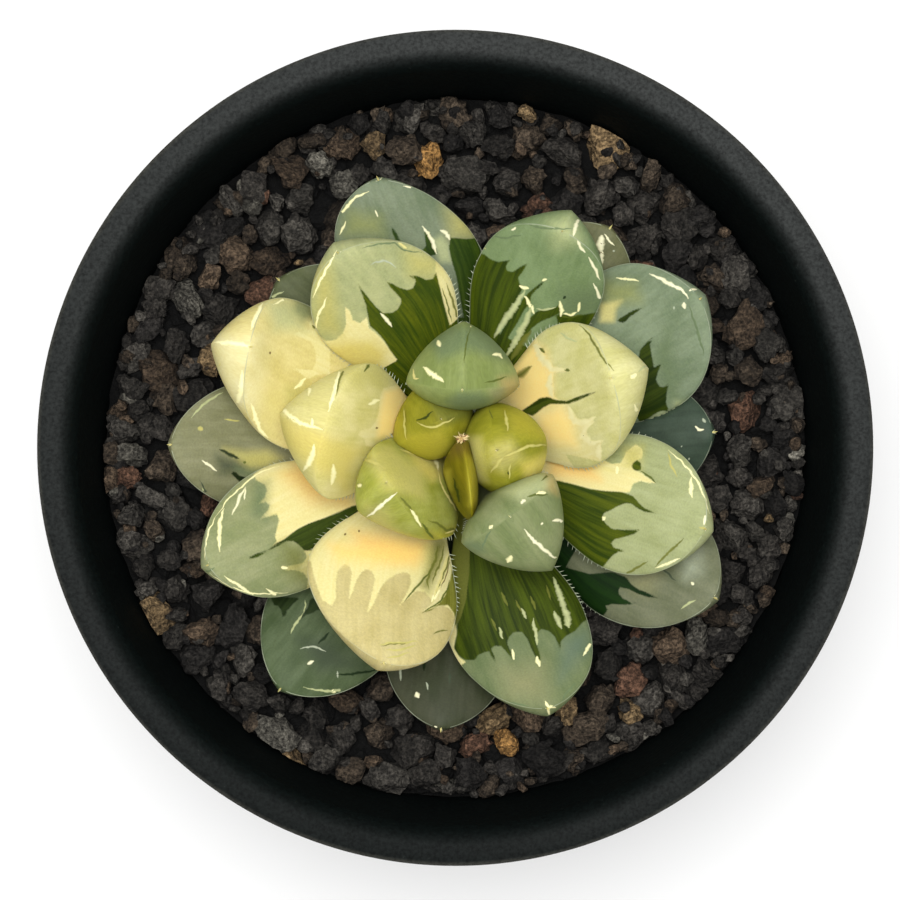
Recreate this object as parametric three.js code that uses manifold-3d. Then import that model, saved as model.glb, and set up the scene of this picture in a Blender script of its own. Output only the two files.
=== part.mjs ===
// Potted haworthia: a variegated rosette of plump leaves in a round black nursery pot of gravel.
// Millimetres, +Z up. The origin is the middle of the pot's underside.

import * as THREE from 'three';
import { mergeVertices } from 'three/addons/utils/BufferGeometryUtils.js';
import Module from 'manifold-3d';

const wasm = await Module();
wasm.setup();

// Pot
const potHeight = 75;
const rimRadius = 45;
const rimWidth = 4;
const rimSkirtDrop = 7.5;
const rimSkirtWall = 1.3;
const potWall = 1.4;
const innerRadiusAtRim = rimRadius - rimWidth;
const innerTaper = 1.6 / 12;
const footHeight = 1.8;
const footInner = 29.2;
const footOuter = 32.2;
const floorThickness = 1.6;
const drainHoleRadius = 2.4;
const drainHoleCircle = 17;
const potSides = 40;

// Soil and gravel
const soilTop = 61.6;
const grainSeed = 1877;
const grainSpacing = 4.2;
const grainLowest = 0.9;
const grainHighest = 2.6;
const coveredRadius = 17;
const fit = 0.3;
const touch = 0.12;

// Plant
const plantX = 0.6;
const plantY = -0.2;
const rootCount = 6;
const leafSides = 10;
const toothLength = 0.75;
const toothThickness = 0.3;
const toothSpacing = 2.4;

// The height of each ring of leaves on the stem, how far from its middle the leaves are seated,
// the angle at which they leave it, and their share of full width and thickness at the seat.
const rings = {
  heart: { seatRadius: 1.9, rise: 62, seatWidth: 0.5, seatDepth: 0.4, widest: 0.6, fullest: 0.66 },
  inner: { seatRadius: 2.9, rise: 44, seatWidth: 0.36, seatDepth: 0.26, widest: 0.64, fullest: 0.68 },
  middle: { seatRadius: 3.9, rise: 22, seatWidth: 0.3, seatDepth: 0.22, widest: 0.6, fullest: 0.68 },
  lower: { seatRadius: 4.8, rise: 10, seatWidth: 0.3, seatDepth: 0.22, widest: 0.62, fullest: 0.68 },
  lowest: { seatRadius: 5.4, rise: 8, seatWidth: 0.3, seatDepth: 0.24, widest: 0.62, fullest: 0.68 },
};

// How sharply the back of a leaf is keeled, from 0 for round to 1 for a ridge.
const usualKeel = 0.5;

// One row for each leaf, from the youngest to the oldest. face is the way it points and seat is
// where it grows on the stem, both in degrees from +X towards +Y. root and top are the heights of
// its seat and of its point. reach is how far out the point lies, aside how far it lies to the
// left, and bow how far the leaf swings aside on its way. tip is the angle of the point, with 90
// straight up. above and below are the thickness over and under the margins. A row may state a
// value of its ring for itself.
const leaves = [
  { ring: 'heart', face: 283, seat: 258, root: 73, reach: -1.1, aside: 0.3, bow: -0.3, top: 81.4,
    tip: 135, width: 3.6, above: 1, below: 6.9, widest: 0.5 },
  { ring: 'heart', face: 117, seat: 157, root: 72.4, reach: 3.8, aside: 0.4, bow: 0.7, top: 81.5,
    tip: 84, width: 9.2, above: 3.2, below: 4.7, keel: 0.4, widest: 0.54 },
  { ring: 'heart', face: 16, seat: 14, root: 71.8, reach: 3.5, aside: -1.1, bow: -0.7, top: 83.8,
    tip: 102.5, width: 10.8, above: 4, below: 5, keel: 0.15, widest: 0.53 },
  { ring: 'heart', face: 212, seat: 225, root: 71.2, reach: 8.4, aside: -1.3, bow: 1.3, top: 84.3,
    tip: 87, width: 12.4, above: 2.4, below: 5.5, keel: 0.35, widest: 0.48 },
  { ring: 'inner', face: 89, seat: 85, root: 70.6, reach: 6.2, aside: 0, bow: 0, top: 86,
    tip: 105, width: 12, above: 2.8, below: 6.6 },
  { ring: 'inner', face: 306, seat: 302, root: 70, reach: 8.6, aside: 0, bow: 0.5, top: 86.4,
    tip: 80, width: 11.9, above: 2.1, below: 8.4, keel: 0.45, widest: 0.75 },
  { ring: 'inner', face: 163, seat: 175, root: 69.5, reach: 14.4, aside: 2.2, bow: 0, top: 84.5,
    tip: 78, width: 15, above: 2.4, below: 7.6 },
  { ring: 'middle', face: 17, seat: 40, root: 69.6, reach: 17.4, aside: 2.6, bow: 0, top: 82.5,
    tip: 86, width: 15.6, above: 2.4, below: 6.1, seatWidth: 0.46, widest: 0.52 },
  { ring: 'middle', face: 250, seat: 225, root: 69, reach: 24, aside: 0, bow: -2.2, top: 80,
    tip: 50, width: 16.8, above: 2.4, below: 5 },
  { ring: 'middle', face: 122, seat: 100, root: 68.8, reach: 24.6, aside: 0, bow: -0.6, top: 79.5,
    tip: 55, width: 15, above: 2.4, below: 5 },
  { ring: 'middle', face: 168, seat: 140, root: 67.6, reach: 24.2, aside: -6, bow: 0, top: 80,
    tip: 88, width: 15.4, above: 2.4, below: 6.8 },
  { ring: 'middle', face: 66, seat: 62, root: 68, reach: 25.6, aside: -0.4, bow: 0, top: 79,
    tip: 75, width: 14, above: 2.4, below: 5.6 },
  { ring: 'middle', face: 342, seat: 345, root: 68.2, reach: 27.3, aside: 0, bow: 0, top: 78,
    tip: 52, width: 15, above: 2.4, below: 5 },
  { ring: 'middle', face: 280, seat: 290, root: 67.4, reach: 28.8, aside: 4.3, bow: 0, top: 77,
    tip: 50, width: 15.2, above: 2.4, below: 5 },
  { ring: 'middle', face: 204.5, seat: 200, root: 66.8, reach: 29.6, aside: 0, bow: 0, top: 77.5,
    tip: 50, width: 13.8, above: 2.4, below: 5 },
  { ring: 'lower', face: 33, seat: 25, root: 65.8, reach: 30.4, aside: -0.4, bow: 0, top: 74,
    tip: 50, width: 17, above: 2.2, below: 4.8 },
  { ring: 'lower', face: 96, seat: 90, root: 65.4, reach: 29.9, aside: 5.8, bow: 0, top: 72.5,
    tip: 35, width: 15.5, above: 2.2, below: 4.5 },
  { ring: 'lower', face: 329, seat: 322, root: 65, reach: 31.7, aside: 0.4, bow: 0, top: 73,
    tip: 45, width: 15, above: 2.2, below: 4.5 },
  { ring: 'lower', face: 179, seat: 176, root: 64.8, reach: 31.3, aside: 0, bow: 0, top: 72.5,
    tip: 38, width: 14, above: 2.2, below: 4.5 },
  { ring: 'lower', face: 233, seat: 236, root: 64.4, reach: 32.4, aside: 0, bow: 0, top: 71.5,
    tip: 35, width: 15, above: 2.2, below: 4.5 },
  { ring: 'lowest', face: 266, seat: 272, root: 63.8, reach: 30.3, aside: 0, bow: 0, top: 71,
    tip: 35, width: 14, above: 2, below: 4.2 },
  { ring: 'lowest', face: 4, seat: 358, root: 63.6, reach: 27.5, aside: 0, bow: 0, top: 70,
    tip: 35, width: 13, above: 2, below: 4 },
  { ring: 'lowest', face: 56, seat: 58, root: 63.4, reach: 29, aside: 0, bow: 0, top: 69.6,
    tip: 35, width: 14, above: 2, below: 3.8 },
  { ring: 'lowest', face: 137, seat: 134, root: 63.4, reach: 27, aside: 0, bow: 0, top: 69.6,
    tip: 35, width: 14, above: 2, below: 3.8 },
].map((leaf) => ({ keel: usualKeel, ...rings[leaf.ring], ...leaf }));

// Colour of each leaf's skin as a whole, from the yellow heart to the grey-green outer leaves.
const leafColours = {
  heart: 0xb4b450,
  inner: 0xc8cc96,
  middle: 0xccd0a0,
  lower: 0x8fa088,
  lowest: 0x6f8070,
};

// Closed meshes to solids and back, for joining and cutting.

function solidOf(geometry) {
  const bare = geometry.index ? geometry.toNonIndexed() : geometry.clone();
  bare.deleteAttribute('normal');
  bare.deleteAttribute('uv');
  const merged = mergeVertices(bare, 1e-4);
  const mesh = new wasm.Mesh({
    numProp: 3,
    vertProperties: new Float32Array(merged.attributes.position.array),
    triVerts: new Uint32Array(merged.index.array),
  });
  return new wasm.Manifold(mesh);
}

function geometryOf(solid) {
  const { vertProperties, triVerts, numProp } = solid.getMesh();
  const places = new Float32Array((vertProperties.length / numProp) * 3);
  for (let i = 0; i < places.length / 3; i += 1) {
    for (let axis = 0; axis < 3; axis += 1) {
      places[i * 3 + axis] = vertProperties[i * numProp + axis];
    }
  }
  const geometry = new THREE.BufferGeometry();
  geometry.setAttribute('position', new THREE.BufferAttribute(places, 3));
  geometry.setIndex(new THREE.BufferAttribute(new Uint32Array(triVerts), 1));
  return geometry;
}

function largestPiece(solid) {
  const pieces = solid.decompose();
  return pieces.reduce((best, piece) => (piece.volume() > best.volume() ? piece : best));
}

function boxesMeet(a, b) {
  const boxA = a.boundingBox();
  const boxB = b.boundingBox();
  return [0, 1, 2].every((axis) => boxA.min[axis] < boxB.max[axis] && boxB.min[axis] < boxA.max[axis]);
}

// A closed skin over rings of points, with a flat cap at the start and a point or cap at the end.
function skinOver(loops, endPoint) {
  const count = loops[0].length;
  const startPoint = loops[0].reduce((sum, p) => sum.add(p), new THREE.Vector3()).divideScalar(count);
  const points = [...loops.flat(), startPoint, endPoint];
  const start = points.length - 2;
  const end = points.length - 1;
  const faces = [];
  const last = (loops.length - 1) * count;
  for (let j = 0; j < count; j += 1) {
    const k = (j + 1) % count;
    faces.push(start, k, j);
    faces.push(end, last + j, last + k);
    for (let i = 0; i < last; i += count) {
      faces.push(i + j, i + k, i + count + k);
      faces.push(i + j, i + count + k, i + count + j);
    }
  }
  const geometry = new THREE.BufferGeometry();
  geometry.setAttribute('position', new THREE.Float32BufferAttribute(points.flatMap((p) => p.toArray()), 3));
  geometry.setIndex(faces);
  return geometry;
}

// Repeatable random numbers from 0 to 1.
function seeded(seed) {
  let state = seed;
  return () => {
    state = (Math.imul(state, 1664525) + 1013904223) >>> 0;
    return state / 4294967296;
  };
}

// Pot: a tapered wall with a folded-over rim, a foot ring and drain holes.

function innerRadiusAt(height) {
  return innerRadiusAtRim - (potHeight - height) * innerTaper;
}

function potProfile() {
  const floorTop = footHeight + floorThickness;
  const skirtFoot = potHeight - rimSkirtDrop;
  const foldUnderside = potHeight - 1.6;
  const outerRadiusAt = (height) => innerRadiusAt(height) + potWall;
  return [
    [0, footHeight],
    [footInner, footHeight],
    [footInner + 0.5, 0],
    [footOuter, 0],
    [outerRadiusAt(2), 2],
    [outerRadiusAt(foldUnderside), foldUnderside],
    [rimRadius - rimSkirtWall, foldUnderside],
    [rimRadius - rimSkirtWall - 0.2, skirtFoot],
    [rimRadius - 0.2, skirtFoot],
    [rimRadius, potHeight - 0.9],
    [rimRadius - 0.4, potHeight - 0.2],
    [rimRadius - 1.1, potHeight],
    [rimRadius - 2.6, potHeight - 0.1],
    [rimRadius - 3.5, potHeight - 0.7],
    [innerRadiusAt(potHeight - 1.9), potHeight - 1.9],
    [innerRadiusAt(floorTop), floorTop],
    [0, floorTop],
  ].map(([radius, height]) => new THREE.Vector2(radius, height));
}

function turned(profile, sides) {
  return new THREE.LatheGeometry(profile, sides).rotateX(Math.PI / 2);
}

function makePot() {
  let pot = solidOf(turned(potProfile(), potSides));
  for (let i = 0; i < 6; i += 1) {
    const angle = (i * Math.PI) / 3;
    const reach = i === 0 ? 0 : drainHoleCircle;
    const hole = new THREE.CylinderGeometry(drainHoleRadius, drainHoleRadius, 8, 10).rotateX(Math.PI / 2);
    hole.translate(reach * Math.cos(angle * 1.2), reach * Math.sin(angle * 1.2), footHeight);
    pot = pot.subtract(solidOf(hole));
  }
  return pot;
}

// Stem: a short tapered stem with fleshy roots fused to its foot.

const stemProfile = [
  [50, 2.2],
  [53, 4.2],
  [62, 5.4],
  [66, 4.9],
  [70, 3.6],
  [74, 1.9],
  [77, 0.7],
];

function makeStemCore(spare) {
  const profile = stemProfile.map(([height, radius]) => new THREE.Vector2(radius + spare, height));
  profile[0].y -= spare;
  profile.at(-1).y += spare;
  profile.unshift(new THREE.Vector2(0, profile[0].y));
  profile.push(new THREE.Vector2(0, profile.at(-1).y + 0.4));
  return solidOf(turned(profile, 12));
}

function makeRoot(index, spare) {
  const random = seeded(400 + index);
  const angle = (index * 2 * Math.PI) / rootCount + 0.4 * random();
  const reach = 15 + 9 * random();
  const depth = 26 + 16 * random();
  const wander = 5 * (random() - 0.5);
  const path = new THREE.CatmullRomCurve3([
    new THREE.Vector3(1.5, 0, 54),
    new THREE.Vector3(6, 0, 51.5),
    new THREE.Vector3(reach * 0.6, wander, 54 - depth * 0.35),
    new THREE.Vector3(reach * 0.9, wander * 1.5, 54 - depth * 0.7),
    new THREE.Vector3(reach, wander, 54 - depth),
  ]);
  const sides = 5;
  const steps = 4;
  const frames = path.computeFrenetFrames(steps, false);
  const loops = [];
  for (let i = 0; i <= steps; i += 1) {
    const radius = 1.5 - (1.1 * i) / steps + spare;
    const middle = path.getPointAt(i / steps);
    const loop = [];
    for (let j = 0; j < sides; j += 1) {
      const turn = (j * 2 * Math.PI) / sides;
      loop.push(
        middle
          .clone()
          .addScaledVector(frames.normals[i], radius * Math.cos(turn))
          .addScaledVector(frames.binormals[i], radius * Math.sin(turn)),
      );
    }
    loops.push(loop);
  }
  const tip = path.getPointAt(1).addScaledVector(frames.tangents[steps], 0.8 + spare);
  return solidOf(skinOver(loops, tip).rotateZ(angle));
}

function makeStem(spare) {
  let stem = makeStemCore(spare);
  for (let i = 0; i < rootCount; i += 1) {
    stem = stem.add(makeRoot(i, spare));
  }
  return stem;
}

// Leaves: a swollen blade on a curved midline, flat above, rounded and keeled below.

const leafSteps = [0, 0.22, 0.42, 0.6, 0.75, 0.88, 0.97];

// Share of full size along a leaf: it swells from its seat to its peak and closes at the point.
function swell(u, peak, atSeat, roundness) {
  if (u < peak) {
    const t = u / peak;
    return atSeat + (1 - atSeat) * t * t * (3 - 2 * t);
  }
  const q = Math.min((u - peak) / (1 - peak), 1);
  return (1 - q ** 2.2) ** roundness;
}

function radians(degrees) {
  return THREE.MathUtils.degToRad(degrees);
}

// The midline of a leaf in its upright plane: x is the distance out and y the height.
function midlineOf(leaf) {
  const seatTurn = radians(leaf.seat - leaf.face);
  const start = new THREE.Vector2(leaf.seatRadius * Math.cos(seatTurn), leaf.root);
  const end = new THREE.Vector2(leaf.reach, leaf.top);
  const handle = 0.38 * start.distanceTo(end);
  const rise = radians(leaf.rise);
  const tip = radians(leaf.tip);
  const curve = new THREE.CubicBezierCurve(
    start,
    new THREE.Vector2(start.x + handle * Math.cos(rise), start.y + handle * Math.sin(rise)),
    new THREE.Vector2(end.x - handle * Math.cos(tip), end.y - handle * Math.sin(tip)),
    end,
  );
  return { curve, asideAtSeat: leaf.seatRadius * Math.sin(seatTurn) };
}

// A place on the leaf, or spare outside its skin: u runs from seat to point and v round the
// section, from the left margin over the upper face to the right margin and back below.
function leafPlace(leaf, u, v, spare) {
  const { curve, asideAtSeat } = midlineOf(leaf);
  const middle = curve.getPoint(u);
  const ahead = curve.getTangent(u);
  const across = Math.cos(v);
  const rounding = 1 - across * across;
  const halfWidth = (leaf.width / 2) * swell(u, leaf.widest, leaf.seatWidth, 0.62) + spare;
  const above = leaf.above * swell(u, leaf.widest, leaf.seatDepth, 0.62) + spare;
  const below = leaf.below * swell(u, leaf.fullest, leaf.seatDepth, 0.5) + spare;
  const keel = leaf.keel * THREE.MathUtils.smoothstep(u, 0.4, 0.8);
  const roundBack = rounding ** 0.62;
  const keeledBack = (1 - Math.abs(across)) ** 0.85;
  const depth = Math.sin(v) > 0
    ? above * rounding ** 0.8
    : -below * ((1 - keel) * roundBack + keel * keeledBack);
  const aside = asideAtSeat
    + (leaf.aside - asideAtSeat) * u ** 1.2
    + leaf.bow * Math.sin(Math.PI * u)
    + halfWidth * across;
  const out = middle.x - ahead.y * depth;
  return new THREE.Vector3(out, aside, middle.y + ahead.x * depth)
    .applyAxisAngle(new THREE.Vector3(0, 0, 1), radians(leaf.face));
}

function makeBlade(leaf, spare) {
  const loops = leafSteps.map((u) => {
    const loop = [];
    for (let j = 0; j < leafSides; j += 1) {
      loop.push(leafPlace(leaf, u, (j * 2 * Math.PI) / leafSides, spare));
    }
    return loop;
  });
  const { curve } = midlineOf(leaf);
  const ahead = curve.getTangent(1);
  const point = leafPlace(leaf, 1, 0, 0);
  const push = new THREE.Vector3(ahead.x, 0, ahead.y)
    .applyAxisAngle(new THREE.Vector3(0, 0, 1), radians(leaf.face));
  return solidOf(skinOver(loops, point.addScaledVector(push, spare)));
}

// A three-sided spine from a place on the skin, sunk well in at its root.
function makeSpine(root, direction, length, thickness) {
  const spine = new THREE.ConeGeometry(thickness, length * 1.8, 3);
  spine.translate(0, length * 0.1, 0);
  spine.applyQuaternion(
    new THREE.Quaternion().setFromUnitVectors(new THREE.Vector3(0, 1, 0), direction),
  );
  spine.translate(root.x, root.y, root.z);
  return solidOf(spine);
}

// Teeth stand along both margins of a leaf, and its point ends in a bristle.
function makeTeeth(leaf) {
  const teeth = [];
  const length = midlineOf(leaf).curve.getLength();
  const count = Math.floor((length * 0.55) / toothSpacing);
  for (const margin of [0, Math.PI]) {
    for (let i = 0; i < count; i += 1) {
      const u = 0.4 + (0.5 * (i + 0.5)) / count;
      const root = leafPlace(leaf, u, margin, 0);
      const inside = leafPlace(leaf, u - 0.03, margin + 0.6, 0).lerp(leafPlace(leaf, u - 0.03, margin - 0.6, 0), 0.5);
      const direction = root.clone().sub(inside).normalize();
      teeth.push(makeSpine(root, direction, toothLength, toothThickness));
    }
  }
  const point = leafPlace(leaf, 1, 0, 0);
  const before = leafPlace(leaf, 0.97, Math.PI / 2, 0).lerp(leafPlace(leaf, 0.97, -Math.PI / 2, 0), 0.3);
  teeth.push(makeSpine(point, point.clone().sub(before).normalize(), 0.9, 0.32));
  return teeth;
}

// A tuft of dry bristles at the point of the youngest leaf.
function makeTuft(leaf) {
  const point = leafPlace(leaf, 1, 0, 0);
  const bristles = [];
  for (let i = 0; i < 5; i += 1) {
    const turn = (i * 2 * Math.PI) / 5;
    const direction = new THREE.Vector3(0.5 * Math.cos(turn), 0.5 * Math.sin(turn), 1).normalize();
    bristles.push(makeSpine(point, direction, 1.1, 0.26));
  }
  return bristles;
}

// From the youngest leaf outwards, each leaf is pressed in where the leaves above lie on it.
function makeLeaves() {
  const stem = makeStemCore(fit);
  const outsides = leaves.map((leaf) => makeBlade(leaf, fit));
  const nearSides = leaves.map((leaf) => makeBlade(leaf, touch));
  return leaves.map((leaf, index) => {
    let blade = makeBlade(leaf, 0).subtract(stem);
    for (let above = 0; above < index; above += 1) {
      const touches = boxesMeet(blade, nearSides[above]) && !blade.intersect(nearSides[above]).isEmpty();
      if (touches) blade = blade.subtract(outsides[above]);
    }
    blade = largestPiece(blade);
    const others = outsides.filter((outside, other) => other !== index && boxesMeet(blade, outside));
    const spines = index === 0 ? makeTuft(leaf) : makeTeeth(leaf);
    spines.forEach((spine) => {
      const clear = others.every((outside) => spine.intersect(outside).isEmpty());
      const rooted = !spine.intersect(blade).isEmpty();
      if (clear && rooted) blade = blade.add(spine);
    });
    return largestPiece(blade);
  });
}

// Soil: the filling of the pot, whose top is a layer of angular grains of gravel.

// The grains stand on an uneven triangular lattice. Each is a six-sided stone between the hollows
// around it, with a slanting three-cornered top.
function makeGravel() {
  const random = seeded(grainSeed);
  const reach = Math.ceil(rimRadius / (grainSpacing * 0.8));
  const size = 2 * reach + 1;
  const rowHeight = grainSpacing * Math.sqrt(0.75);
  const stones = [];
  for (let row = -reach; row <= reach; row += 1) {
    for (let column = -reach; column <= reach; column += 1) {
      const x = (column + row / 2) * grainSpacing + 0.42 * grainSpacing * (random() - 0.5);
      const y = row * rowHeight + 0.42 * grainSpacing * (random() - 0.5);
      const height = grainLowest + (grainHighest - grainLowest) * random();
      stones.push({ x, y, height, turn: random() });
    }
  }
  const stoneAt = (row, column) => stones[row * size + column];
  const points = [];
  const faces = [];
  const hollows = new Map();

  // The hollow between three stones, to the right of the one at this row and column.
  function hollowAt(row, column, upper) {
    const key = `${row} ${column} ${upper}`;
    if (!hollows.has(key)) {
      const around = [stoneAt(row, column), stoneAt(row, column + 1)];
      around.push(upper ? stoneAt(row + 1, column) : stoneAt(row - 1, column + 1));
      const x = around.reduce((sum, stone) => sum + stone.x, 0) / 3;
      const y = around.reduce((sum, stone) => sum + stone.y, 0) / 3;
      hollows.set(key, points.length);
      points.push(new THREE.Vector3(x, y, soilTop));
    }
    return hollows.get(key);
  }

  for (let row = 1; row < size - 1; row += 1) {
    for (let column = 1; column < size - 1; column += 1) {
      const stone = stoneAt(row, column);
      const foot = [
        hollowAt(row, column, false),
        hollowAt(row, column, true),
        hollowAt(row, column - 1, true),
        hollowAt(row, column - 1, false),
      ];
      foot.splice(2, 0, hollowAt(row + 1, column - 1, false));
      foot.push(hollowAt(row - 1, column, true));
      addStone(stone, foot, points, faces);
    }
  }
  return slabUnder(points, faces);
}

// Faces of one stone on the six hollows round it. Under the leaves it stays low.
function addStone(stone, foot, points, faces) {
  const isCovered = Math.hypot(stone.x, stone.y) < coveredRadius;
  if (isCovered) {
    const middle = points.length;
    points.push(new THREE.Vector3(stone.x, stone.y, soilTop + 0.2));
    foot.forEach((place, i) => faces.push([middle, place, foot[(i + 1) % 6]]));
    return;
  }
  const first = points.length;
  for (let i = 0; i < 3; i += 1) {
    const hollow = points[foot[2 * i]].clone().lerp(points[foot[2 * i + 1]], 0.25 + 0.5 * stone.turn);
    const corner = hollow.lerp(new THREE.Vector3(stone.x, stone.y, soilTop), 0.42);
    corner.z = soilTop + stone.height * (1 - 0.45 * ((stone.turn * 3 + i / 3) % 1));
    points.push(corner);
  }
  faces.push([first, first + 1, first + 2]);
  for (let i = 0; i < 3; i += 1) {
    const corner = first + i;
    const next = first + ((i + 1) % 3);
    faces.push([corner, foot[2 * i], foot[2 * i + 1]]);
    faces.push([corner, foot[2 * i + 1], next]);
    faces.push([next, foot[2 * i + 1], foot[(2 * i + 2) % 6]]);
  }
}

// A closed slab from a sheet of faces that look up: its edge drops straight to a flat underside.
function slabUnder(points, faces) {
  const edges = new Map();
  faces.forEach((face) => {
    face.forEach((from, i) => edges.set(`${from} ${face[(i + 1) % 3]}`, [from, face[(i + 1) % 3]]));
  });
  const border = [...edges.values()].filter(([from, to]) => !edges.has(`${to} ${from}`));
  const below = new Map();
  border.forEach(([from]) => {
    below.set(from, points.length);
    points.push(new THREE.Vector3(points[from].x, points[from].y, soilTop - 5));
  });
  const middle = points.length;
  points.push(new THREE.Vector3(0, 0, soilTop - 5));
  border.forEach(([from, to]) => {
    faces.push([to, from, below.get(from)]);
    faces.push([to, below.get(from), below.get(to)]);
    faces.push([below.get(to), below.get(from), middle]);
  });
  const geometry = new THREE.BufferGeometry();
  geometry.setAttribute('position', new THREE.Float32BufferAttribute(points.flatMap((p) => p.toArray()), 3));
  geometry.setIndex(faces.flat());
  return solidOf(geometry);
}

function soilBlock(bottom, top) {
  const profile = [
    [0, bottom],
    [innerRadiusAt(bottom) - fit, bottom],
    [innerRadiusAt(top) - fit, top],
    [0, top],
  ].map(([radius, height]) => new THREE.Vector2(radius, height));
  return solidOf(turned(profile, potSides));
}

function makeSoil(stemHole, leafSolids) {
  const gravel = makeGravel().intersect(soilBlock(soilTop - 3, soilTop + 3));
  let soil = soilBlock(footHeight + floorThickness + fit, soilTop - 3).add(gravel);
  soil = soil.subtract(stemHole);
  leafSolids.forEach((leaf) => {
    if (boxesMeet(soil, leaf)) soil = soil.subtract(leaf);
  });
  return largestPiece(soil);
}

// Assembly

function named(name, solid, colour, roughness) {
  const material = new THREE.MeshStandardMaterial({ color: colour, roughness, metalness: 0 });
  const mesh = new THREE.Mesh(geometryOf(solid), material);
  mesh.name = name;
  return mesh;
}

const haworthia = new THREE.Group();
const plant = new THREE.Group();
plant.position.set(plantX, plantY, 0);

const toPot = [plantX, plantY, 0];
const grownLeaves = leaves.map((leaf) => makeBlade(leaf, fit).translate(toPot));

haworthia.add(named('pot', makePot(), 0x2a2c2b, 0.55));
haworthia.add(named('soil', makeSoil(makeStem(fit).translate(toPot), grownLeaves), 0x3c3a36, 0.95));
plant.add(named('stem_with_roots', makeStem(0), 0xb8ab84, 0.7));
makeLeaves().forEach((solid, index) => {
  const name = `leaf_${String(index + 1).padStart(2, '0')}`;
  plant.add(named(name, solid, leafColours[leaves[index].ring], 0.35));
});
haworthia.add(plant);

export default haworthia;
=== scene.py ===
"""Potted haworthia: a variegated rosette of plump leaves in a black nursery pot of gravel."""

import math

import bmesh
import bpy
import numpy as np
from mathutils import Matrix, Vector, noise
from mathutils.bvhtree import BVHTree


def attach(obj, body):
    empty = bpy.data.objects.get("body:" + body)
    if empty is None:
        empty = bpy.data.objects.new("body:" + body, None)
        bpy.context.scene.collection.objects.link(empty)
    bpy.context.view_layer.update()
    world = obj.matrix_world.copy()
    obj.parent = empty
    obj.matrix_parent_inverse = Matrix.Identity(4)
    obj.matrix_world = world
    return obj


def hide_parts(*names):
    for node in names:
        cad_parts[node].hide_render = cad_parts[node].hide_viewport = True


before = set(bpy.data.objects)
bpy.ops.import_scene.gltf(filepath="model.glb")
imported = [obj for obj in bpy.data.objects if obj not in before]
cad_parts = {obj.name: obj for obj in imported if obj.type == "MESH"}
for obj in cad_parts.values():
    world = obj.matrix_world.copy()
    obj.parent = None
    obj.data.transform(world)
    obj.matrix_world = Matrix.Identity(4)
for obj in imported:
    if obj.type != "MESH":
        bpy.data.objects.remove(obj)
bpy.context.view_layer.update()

MM = 0.001

# Photograph: its side, the middle and radius of the pot's rim in it in pixels, and in millimetres
# the rim's real radius, the size of a pixel there and the lens's height over it
PHOTO_SIDE = 900
PHOTO_MIDDLE = PHOTO_SIDE / 2
RIM_CENTRE = (455.2, 447.8)
RIM_RADIUS_IN_PIXELS = 419.2
RIM_RADIUS = 45.0
PIXEL = RIM_RADIUS / RIM_RADIUS_IN_PIXELS
LENS_OVER_RIM = 380.0

# Pot
POT_HEIGHT = 75.0
RIM_WIDTH = 4.0
RIM_SKIRT_DROP = 7.5
RIM_SKIRT_WALL = 1.3
POT_WALL = 1.4
INNER_TAPER = 1.6 / 12
FOOT_HEIGHT = 1.8
FOOT_INNER = 29.2
FOOT_OUTER = 32.2
FLOOR_THICKNESS = 1.6
DRAIN_HOLE_RADIUS = 2.4
DRAIN_HOLE_CIRCLE = 17.0
DRAIN_HOLES_ROUND_MIDDLE = 5
POT_SIDES = 240

# Soil
SOIL_TOP = 61.6

# Plant: its middle, and the gap between leaves that lie on each other
PLANT = (0.6, -0.2)
FIT = 0.3
LENS = (
    (PHOTO_MIDDLE - RIM_CENTRE[0]) * PIXEL,
    (RIM_CENTRE[1] - PHOTO_MIDDLE) * PIXEL,
    POT_HEIGHT + LENS_OVER_RIM,
)

# Values that the leaves of a ring share: millimetres, degrees for rise, and shares of full size
RINGS = {
    "heart": dict(seat_radius=1.9, rise=62, seat_width=0.5, seat_depth=0.4, widest=0.6, fullest=0.66),
    "inner": dict(seat_radius=2.9, rise=44, seat_width=0.36, seat_depth=0.26, widest=0.64, fullest=0.68),
    "middle": dict(seat_radius=3.9, rise=22, seat_width=0.3, seat_depth=0.22, widest=0.6, fullest=0.68),
    "lower": dict(seat_radius=4.8, rise=10, seat_width=0.3, seat_depth=0.22, widest=0.62, fullest=0.68),
    "lowest": dict(seat_radius=5.4, rise=8, seat_width=0.3, seat_depth=0.24, widest=0.62, fullest=0.68),
}

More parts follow.
